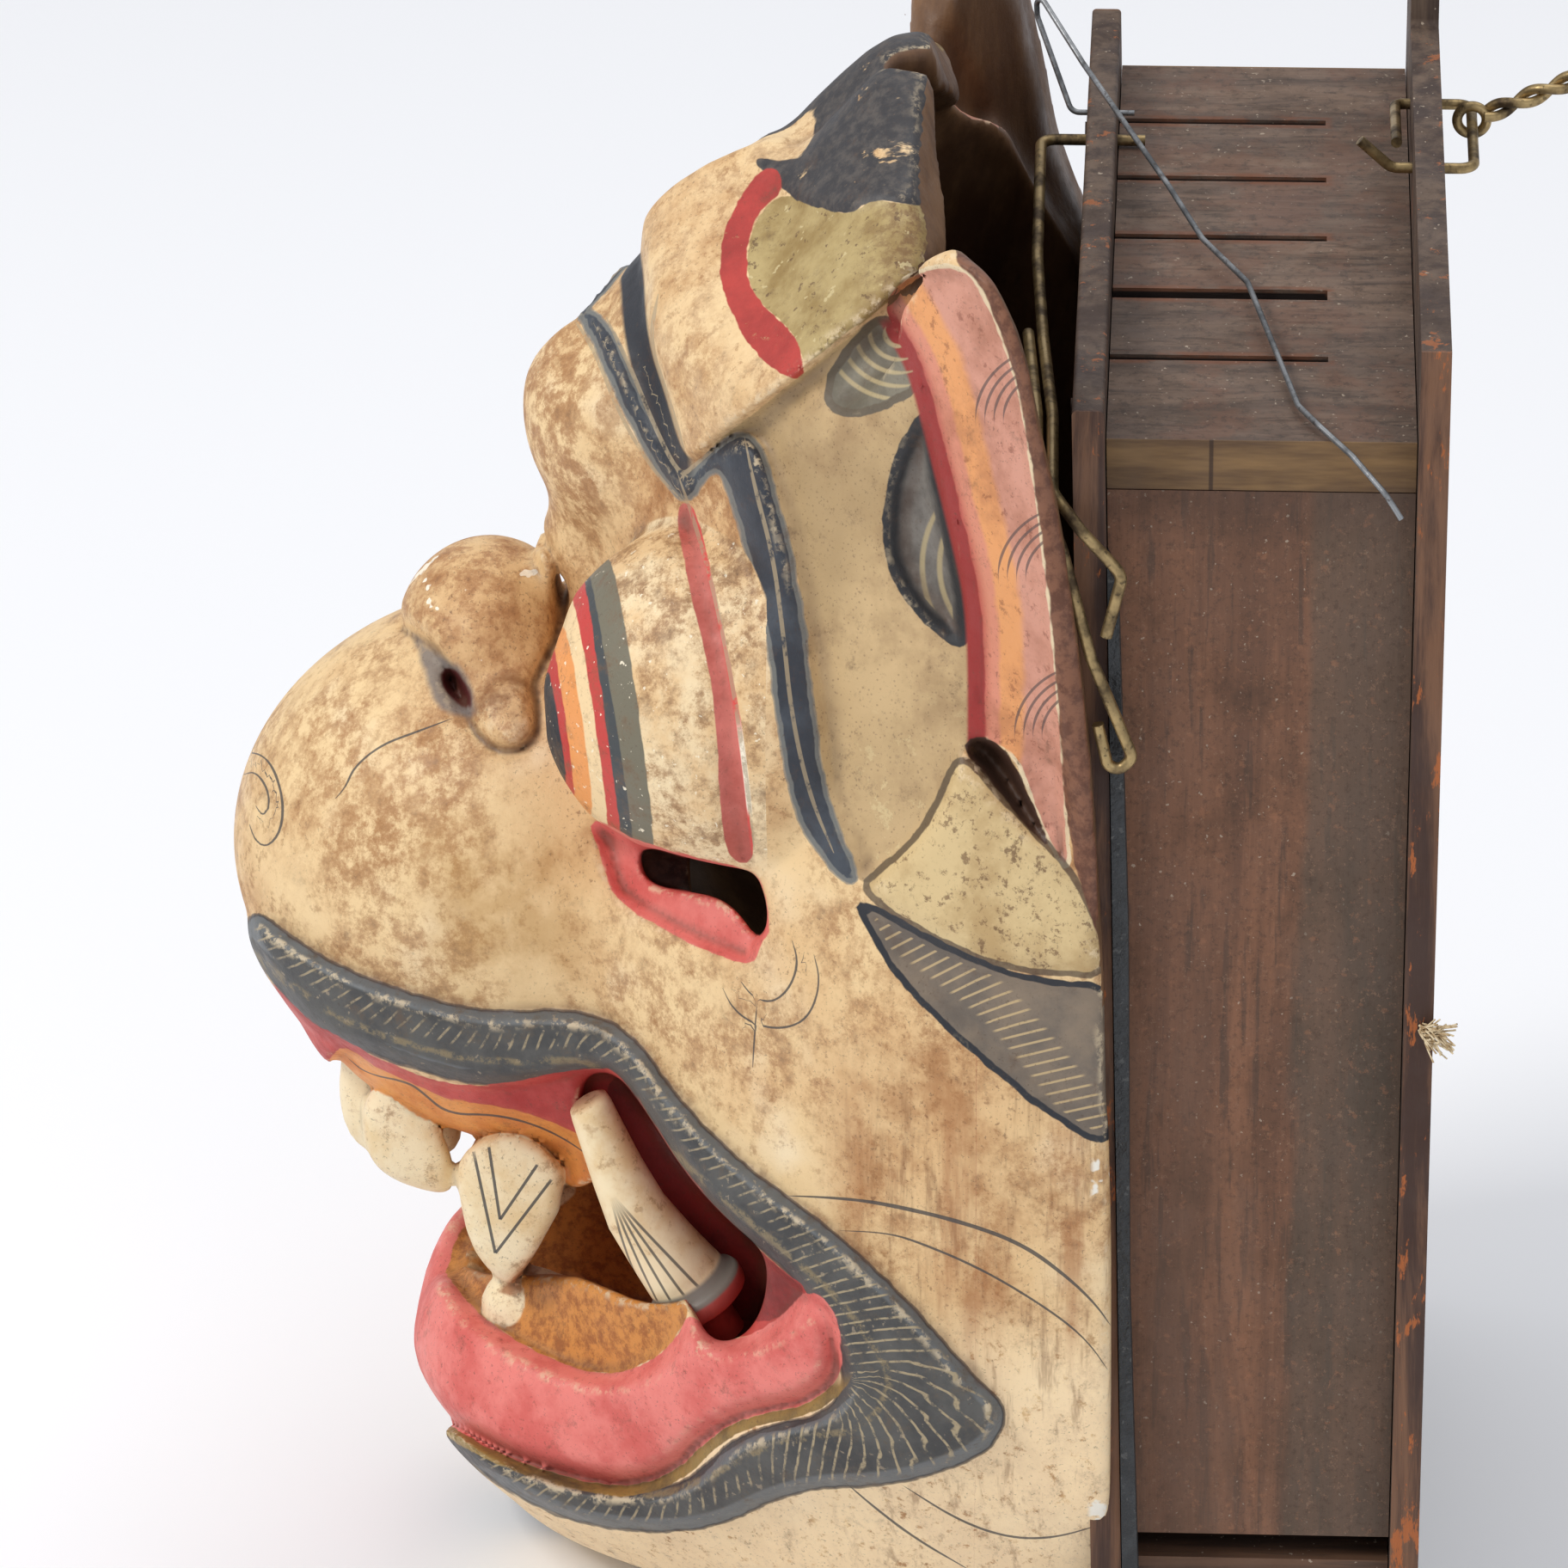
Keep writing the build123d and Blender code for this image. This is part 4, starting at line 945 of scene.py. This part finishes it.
    # moustache band with its combed hair
    band, run, along = k.attr("band"), k.attr("band_run"), k.attr("band_run_along")
    k.coat(on("band"), tones((56, 56, 56), (88, 87, 84), 0.35, 0.68))
    k.coat(on("band", 0.1) * (1 - band.span(2.4, 3.2)) * (1 - on("mouth", -3.4)), (112, 116, 118), 0.65)
    k.coat(rim("band", -0.35, 0.3), (44, 42, 44), 0.8)
    reach = abs(run + 0.8).span(2.1, 0.9) * 0.85 * band.span(1.4, 2.2)
    corner = band.span(1.2, 2.4) * (along.span(118, 128) * along.span(196, 186))
    hair = ticks(along * (1 / 2.5) + run * 0.17 + wob * 0.22).span(0.13, 0.06) * k.math("MAXIMUM", reach, corner)
    k.coat(hair * fine.span(0.64, 0.46), (176, 158, 124), 0.85)
    k.coat(k.noise(600, 3).span(0.66, 0.69) * on("band", 1), (168, 150, 124), 0.5)
    k.coat(on("band") * abs(run + wob - 3.2).span(1.0, 0.3) * grit.span(0.44, 0.56), (146, 128, 92), 0.75)
    k.coat(on("band") * grit.span(0.5, 0.66), (96, 88, 76), 0.5)
    # mouth, with painted shade inside it
    k.coat(on("lip_red"), tones((196, 70, 62), (168, 50, 46)))
    k.coat(on("gums_up") * (1 - k.attr("tusk_well").span(-1, 0)), tones((228, 150, 72), (204, 120, 56)))
    k.coat(on("tusk_well"), tones((150, 44, 40), (118, 36, 32)))
    lip = on("lower_lip")
    k.coat(lip, tones((232, 128, 118), (212, 98, 90), 0.38, 0.64))
    k.coat(lip * fine.span(0.6, 0.68), (176, 76, 64), 0.4)
    k.coat(on("lower_lip", -2.2) * (1 - lip) * V.span(-16, -20), tones((150, 122, 66), (96, 78, 50), 0.4))
    k.coat(on("gums_low"), tones((206, 138, 66), (160, 98, 48), 0.4, 0.65, fine))
    # painted shade: the bare inside seen through the mouth, painted dark grey-brown
    k.coat(k.attr("gullet_in").span(-0.6, 0.0), tones((88, 72, 60), (58, 44, 36), 0.4, 0.6))
    tooth = k.attr("tooth").span(-0.5, -0.2)
    k.coat(tooth, tones((240, 222, 184), (226, 198, 150), 0.4))
    ridge = U + 162.5 - (V - 0.5) * 0.79
    k.coat(tooth * on("fang", -2.5, 0.4) * ridge.span(-2.6, -1.2) * mid.span(0.25, 0.5), (158, 98, 54), 0.85)
    k.coat(tooth * grit.span(0.5, 0.66), (176, 128, 78), 0.5)
    for a, b in (((-169.5, 28), (-166, 7)), ((-166, 7), (-155.5, 22.5)),
                 ((-166.7, 29), (-165, 14)), ((-165, 14), (-158, 25.5))):
        k.coat(k.segment(U, V, a, b, 0.55) * tooth * on("fang", -1.0, 0.3), (60, 60, 62), 0.9)
    # grime in noise patches; painted shade darkens the hollows of the relief, painted highlight and wear lighten its
    # raised edges
    k.coat(grit.span(0.54, 0.7) * patch.span(0.32, 0.5), (92, 66, 46), 0.42)
    k.coat(k.noise(1400, 3, 0.7).span(0.6, 0.68) * big.span(0.3, 0.55), (74, 54, 40), 0.45)
    hollow = k.attr("hollow")
    # painted shade in the hollows, then painted highlight with wear on the raised edges
    k.coat(hollow.span(0.06, 0.4), (84, 58, 40), 0.6)
    k.coat(hollow.span(-0.12, -0.35) * fine.span(0.46, 0.6), (236, 214, 176), 0.6)
    # drawn lines
    pale = (k.attr("pale_w") - abs(k.attr("pale"))).span(-0.04, 0.08)
    k.coat(pale * fine.span(0.68, 0.5), (168, 150, 120), 0.7)
    ink = (k.attr("ink_w") + wob * 0.12 - abs(k.attr("ink"))).span(-0.04, 0.08)
    k.coat(ink, (62, 62, 62), 0.88)
    # raw varnished rim, chips to white gesso along it, bare wood behind
    k.coat(on("ear_rim", 0.2, 0.2), tones((126, 82, 58), (96, 58, 40), 0.4, 0.62, fine))
    k.coat(k.noise(70, 4, 0.7, offset=(0, 0, 5)).span(0.6, 0.63) * U.span(-58.6, -57.4) * V.span(62, 40),
           (238, 232, 218))
    k.coat(k.attr("raw").span(-1.3, -0.8),
           tones((126, 92, 62), (88, 60, 40), by=k.noise(60, 5, 0.7, stretch=(1, 1, 0.2))))
    k.heights = [(mid, 0.5), (grit, 0.7), (fine, 0.35), (k.noise(1500, 2), 0.18),
                 (streak, 0.4), (hair, 0.3), (ink, -0.3)]
    k.roughs = [(mid.span(0.35, 0.7), 0.22), (fine.span(0.4, 0.7), 0.12)]
    return k.done(0.35, 0.0006)


# ---- mask pieces -----------------------------------------------------------------
paint_finish = mask_finish()
centre = verts[quads].mean(1)
in_hollow = np.abs(sample(np.minimum(inner.d, 40), centre)) < 1.2
side_x = np.abs(centre[:, 0])
on_ear = ~in_hollow & (side_x > 66) & (flat(side_x, centre[:, 1], centre[:, 2])[1] > 60) & (centre[:, 1] > -99)
on_face, left = ~in_hollow & ~on_ear, centre[:, 0] >= 0
groups = {"mask_face_left": on_face & left, "mask_face_right": on_face & ~left,
          "mask_ear_left": on_ear & left, "mask_ear_right": on_ear & ~left, "mask_hollow": in_hollow}
whole = make_mesh("whole", verts, quads)
paint_on(whole)
values = {a.name: read(a.data, "value", len(verts)) for a in whole.data.attributes if a.data_type == "FLOAT"}
normals = read(whole.data.vertices, "normal", len(verts), 3)
bpy.data.objects.remove(whole)
# the far ear was set a little further forward
verts[:, 1] -= 6.0 * ramp(-verts[:, 0], 50, 85) * ramp(verts[:, 2], 160, 195)
for name, pick in groups.items():
    used, inv = np.unique(quads[pick], return_inverse=True)
    o = make_mesh(name, verts[used], inv.reshape(-1, 4))
    for key, v in values.items():
        o.data.attributes.new(key, "FLOAT", "POINT").data.foreach_set("value", v[used])
    o.data.normals_split_custom_set_from_vertices(normals[used].tolist())
    o.data.materials.append(paint_finish)
    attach(o, "mask_box")
    if name == "mask_face_left":
        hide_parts("mask_shell")


# ---- box, wires and small parts -----------------------------------------------
def dress(finish, *nodes):
    for node in nodes:
        for s in NODES[node].material_slots:
            s.material = finish
        if not NODES[node].material_slots:
            NODES[node].data.materials.append(finish)


def place_xyz(k):
    n = k.node("SeparateXYZ", {0: k.place})
    return [Value(k, n.outputs[i]) for i in range(3)]


def board_finish(name, light, dark, grain, dirt=(60, 48, 40), scale=1.0):
    """Old stained board; grain is the stretch of the figure."""
    k = Finish(name, 0.55, 0.35)
    wide = k.noise(26 * scale, 4, 0.6, stretch=grain)
    figure = k.noise(150 * scale, 6, 0.7, stretch=grain, distort=0.4)
    hair = k.noise(620 * scale, 3, 0.6, stretch=grain)
    dust = k.noise(60, 5, 0.7)
    k.colour = k.mix(light, dark, figure.span(0.36, 0.64))
    k.coat(wide.span(0.42, 0.68), dark, 0.6)
    k.coat(hair.span(0.56, 0.66), dirt, 0.5)
    k.coat(dust.span(0.5, 0.7) * wide.span(0.35, 0.6), dirt, 0.45)
    k.coat(k.noise(900, 2, 0.5).span(0.7, 0.73), (186, 170, 150), 0.6)
    k.heights = [(figure, 0.8), (hair, 0.6), (dust, 0.3)]
    k.roughs = [(dust.span(0.35, 0.7), 0.25)]
    return k, place_xyz(k), figure, dust


def near_plane(c, at, half, soft):
    """1 within half of at along one coordinate (metres)."""
    return abs(c - at).span(half + soft, half)


# top board, bare wood at the edges of its saw cuts, with painted shade inside them and under the board
KERFS = ((47.9, 2.2), (21.1, 4.2), (-3.2, 2.2), (-29.2, 2.2), (-55.2, 2.2))
k, (x, y, z), figure, dust = board_finish("top_board_stain", (124, 102, 86), (88, 72, 62), (1, 0.16, 1))
cut = None
for at, width in KERFS:
    f = near_plane(x, at / 1000, width / 2000 + 0.0007, 0.0014)
    cut = f if cut is None else k.math("MAXIMUM", cut, f)
k.coat(k.noise(46, 6, 0.75).span(0.46, 0.6), (108, 76, 60), 0.5)
k.coat(k.noise(520, 5, 0.8).span(0.5, 0.64), (60, 50, 44), 0.55)
k.coat(cut * y.span(-0.0176, -0.0192) * k.noise(300, 4, 0.7, stretch=(1, 0.3, 1)).span(0.42, 0.56),
       (116, 68, 42), 0.6)
# painted shade: near black on the faces below the top surface in front of y = -19 mm, inside the saw cuts; weaker on
# the underside; a dark strip where the top surface meets y = -19.5 mm
inner_wall = z.span(0.2061, 0.2057)
k.coat(inner_wall * y.span(-0.0176, -0.0192), (30, 22, 18))
k.coat(inner_wall * abs(x).span(0.08, 0.0795) * y.span(0.004, -0.001), (30, 22, 18), 0.6)
k.coat(z.span(0.2068, 0.2064) * y.span(-0.019, -0.02) * abs(x).span(0.0805, 0.0795), (34, 24, 20))
side = abs(x).span(0.0806, 0.0811)
k.coat(side, k.mix((134, 104, 68), (84, 62, 44), k.noise(80, 5, 0.7, stretch=(1, 0.12, 1)).span(0.38, 0.62)))
k.coat(side * near_plane(y, -0.0385, 0.0002, 0.0003), (50, 34, 26), 0.8)
dress(k.done(0.45, 0.0005), "top_board")

# side panels, red-brown towards the mask and greyer towards the wall, with painted shade under the top board
k, (x, y, z), figure, dust = board_finish("side_panel_stain", (142, 98, 72), (106, 74, 56), (1, 1, 0.08),
                                          (70, 58, 50), 0.8)
smear = k.noise(34, 5, 0.65, stretch=(1, 1, 0.22), offset=(0, 0.02, 0))
k.coat((y + (smear - 0.5) * 0.012).span(-0.0245, -0.0215), (92, 80, 68), 0.62)
k.coat(smear.span(0.44, 0.6) * y.span(-0.0285, -0.021), (76, 66, 56), 0.6)
k.coat(k.noise(640, 6, 0.85).span(0.5, 0.62), (70, 52, 42), 0.5)
k.coat(k.noise(760, 4, 0.8, offset=(1, 1, 0)).span(0.58, 0.66), (150, 116, 92), 0.4)
k.coat(y.span(-0.0215, -0.0285) * smear.span(0.48, 0.64), (110, 84, 68), 0.5)
k.coat(k.noise(420, 4, 0.75).span(0.58, 0.68), (158, 108, 78), 0.35)
# painted shade under the top board: darker across the top of the panel, patchy with the dust noise
k.coat(z.span(0.186, 0.197) * dust.span(0.3, 0.5), (72, 54, 44), 0.5)
dress(k.done(0.35, 0.0004), "side_panel_left", "side_panel_right")

k = board_finish("bottom_board_stain", (104, 76, 58), (62, 48, 40), (1, 0.07, 1))[0]
dress(k.done(0.4, 0.0005), "bottom_board")

# the two large boards: their worn edges, outside this |x| (metres), show orange wood
for node, edge in (("rear_board", 0.0862), ("front_board", 0.0872)):
    k, (x, y, z), figure, dust = board_finish(node + "_stain", (104, 86, 72), (64, 50, 44), (1, 1, 0.08), scale=0.9)
    chip = k.noise(210, 5, 0.75, stretch=(1, 1, 0.3))
    k.coat(abs(x).span(edge, edge + 0.0008), k.mix((118, 84, 62), (66, 46, 38), figure.span(0.4, 0.6)))
    k.coat(chip.span(0.57, 0.62) * abs(x).span(edge - 0.0015, edge + 0.0008), (172, 96, 48), 0.85)
    k.coat(z.span(0.205, 0.214) * chip.span(0.6, 0.64), (158, 92, 50), 0.7)
    dress(k.done(0.45, 0.0005), node)

for name, light, dark, metal, rough, spots, nodes in (
        ("patinated_brass", (172, 148, 104), (74, 60, 44), 0.8, 0.34, (50, 42, 34),
         ("tie_wire_a", "tie_wire_b", "hanger_staple", "hanger_tail")),
        ("grey_steel_wire", (150, 152, 154), (92, 94, 96), 0.8, 0.38, (70, 60, 54), ("steel_wire",)),
        ("rusty_iron", (78, 62, 52), (48, 38, 34), 0.5, 0.6, (112, 62, 36), ("front_nails", "rear_nails"))):
    k = Finish(name, rough, 0.5)
    broad, small = k.noise(140, 4, 0.65), k.noise(900, 3, 0.6)
    k.colour = k.mix(light, dark, broad.span(0.38, 0.66))
    k.coat(small.span(0.58, 0.68), spots, 0.6)
    k.heights = [(broad, 0.4), (small, 0.5)]
    k.roughs = [(broad.span(0.35, 0.7), 0.25)]
    dress(k.done(0.4, 0.0003, metal), *nodes)

# mastic squeezed along both seams, lumpy over its CAD core
k = Finish("black_mastic", 0.5, 0.5)
lump = k.noise(260, 4, 0.7)
k.colour = k.mix((34, 36, 38), (58, 60, 62), lump.span(0.4, 0.66))
k.coat(k.noise(700, 3).span(0.62, 0.68), (96, 96, 94), 0.5)
k.heights = [(lump, 1.0), (k.noise(900, 2), 0.4)]
k.roughs = [(lump.span(0.4, 0.7), 0.3)]
dress(k.done(0.8, 0.0012), "seam_filler_left", "seam_filler_right")


# ---- tusks: cream pegs with thin fanned lines, grey and pink collar -------------
SEAT, LEAN = (45.0, -125.2, 23.2), math.radians(30)
k = Finish("tusk_paint", 0.4, 0.45)
x, y, z = place_xyz(k)
mid, fine = k.noise(90, 5, 0.65), k.noise(480, 4, 0.7)
k.colour = k.mix((240, 220, 180), (224, 192, 142), mid.span(0.38, 0.66))
k.coat(fine.span(0.52, 0.66) * mid.span(0.42, 0.6), (150, 104, 60), 0.6)
# mm along the leaning axis above the seat, and across it
dy, dz = y + 0.1252, z - 0.0232
along, across = (dy * -0.5 + dz * 0.866) * 1000, (dy * 0.866 + dz * 0.5) * 1000
for slope in (-0.3, -0.17, -0.05, 0.07, 0.19):
    line = abs(across - ((30.0 - along) * slope - 1.5))
    k.coat(line.span(0.34, 0.16) * along.span(6, 7) * along.span(29, 22), (70, 66, 62), 0.85)
k.coat(along.span(7.2, 6.0), (134, 128, 118))
k.coat(along.span(3.6, 3.0), k.mix((186, 84, 76), (140, 66, 60), mid.span(0.4, 0.6)))
k.heights = [(mid, 0.5), (fine, 0.4)]
k.roughs = [(mid.span(0.35, 0.7), 0.2)]
tusk_paint = k.done(0.35, 0.0005)

# (height, radius, forward lean) of a carved tusk above its seat, mm
TUSK = [(-7.4, 3.0, 0), (-7.0, 3.9, 0), (-0.2, 3.9, 0), (0, 7.6, 0), (0.6, 8.6, 0), (1.6, 8.9, 0), (3.2, 8.9, 0),
        (4.2, 8.4, 0), (4.8, 7.3, 0), (8, 7.1, -0.3), (14, 6.5, -0.7), (22, 5.8, -0.9), (30, 5.0, 0.1), (37, 4.4, 1.2),
        (42.5, 4.0, 2.1), (44.0, 3.7, 2.3), (44.4, 2.6, 2.4)]
TURNS = 40


def carved_tusk(node, side):
    v, q = [], []
    for h, r, f in TUSK:
        for i in range(TURNS):
            a = 2 * math.pi * i / TURNS
            r2 = r * (1 + 0.012 * math.sin(3 * a + h * 0.2) + (0.02 * math.sin(2 * a + 1.0) if h > 5 else 0))
            x, y = r2 * math.cos(a) - side * f * 0.4, r2 * math.sin(a) + f
            v.append((side * SEAT[0] + x, SEAT[1] + y * math.cos(LEAN) - h * math.sin(LEAN),
                      SEAT[2] + y * math.sin(LEAN) + h * math.cos(LEAN)))
    top = (len(TUSK) - 1) * TURNS
    for j in range(0, top, TURNS):
        for i in range(TURNS):
            n = (i + 1) % TURNS
            q.append((j + i, j + n, j + TURNS + n, j + TURNS + i))
    me = bpy.data.meshes.new(node + "_carved")
    me.from_pydata([tuple(c * 0.001 for c in p) for p in v], [],
                   q + [tuple(range(TURNS))[::-1], tuple(top + i for i in range(TURNS))])
    me.polygons.foreach_set("use_smooth", [True] * len(q) + [False] * 2)
    me.materials.append(tusk_paint)
    return me


def stand_in(me, name, node):
    """Shows a mesh in place of a CAD node."""
    o = show(name, me)
    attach(o, "mask_box")
    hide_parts(node)


stand_in(carved_tusk("tusk_left", 1), "tusk_left_carved", "tusk_left")
stand_in(carved_tusk("tusk_right", -1), "tusk_right_carved", "tusk_right")

# ---- frayed fibre, metres -------------------------------------------------------
k = Finish("frayed_fibre", 0.85, 0.2)
k.colour = k.mix((222, 204, 170), (176, 150, 112), k.noise(900, 3).span(0.4, 0.6))
rng = np.random.default_rng(7)
cu = bpy.data.curves.new("tuft_fibres", "CURVE")
cu.dimensions = "3D"
cu.bevel_depth = 0.00016
cu.bevel_resolution = 1
cu.materials.append(k.done())
for _ in range(46):
    a, r = rng.uniform(0, 2 * math.pi), rng.uniform(0, 0.0009)
    root = np.array([0.0874, -0.0017 + r * math.cos(a), 0.103 + r * math.sin(a)])
    bend = root + np.array([rng.uniform(0.0012, 0.0026), rng.uniform(0.0004, 0.0028), rng.uniform(-0.0018, 0.0016)])
    end = bend + np.array([rng.uniform(-0.0006, 0.0018), rng.uniform(0.001, 0.0032), rng.uniform(-0.003, 0.0022)])
    sp = cu.splines.new("NURBS")
    sp.points.add(3)
    for i, p in enumerate((root, (root + bend) / 2 + rng.normal(0, 0.0003, 3), bend, end)):
        sp.points[i].co = (*p, 1)
    sp.order_u = 3
    sp.use_endpoint_u = True
curve = show("tuft_curve", cu)
tuft_mesh = bpy.data.meshes.new_from_object(curve)
bpy.data.objects.remove(curve)
stand_in(tuft_mesh, "tuft_fibres", "fibre_tuft")
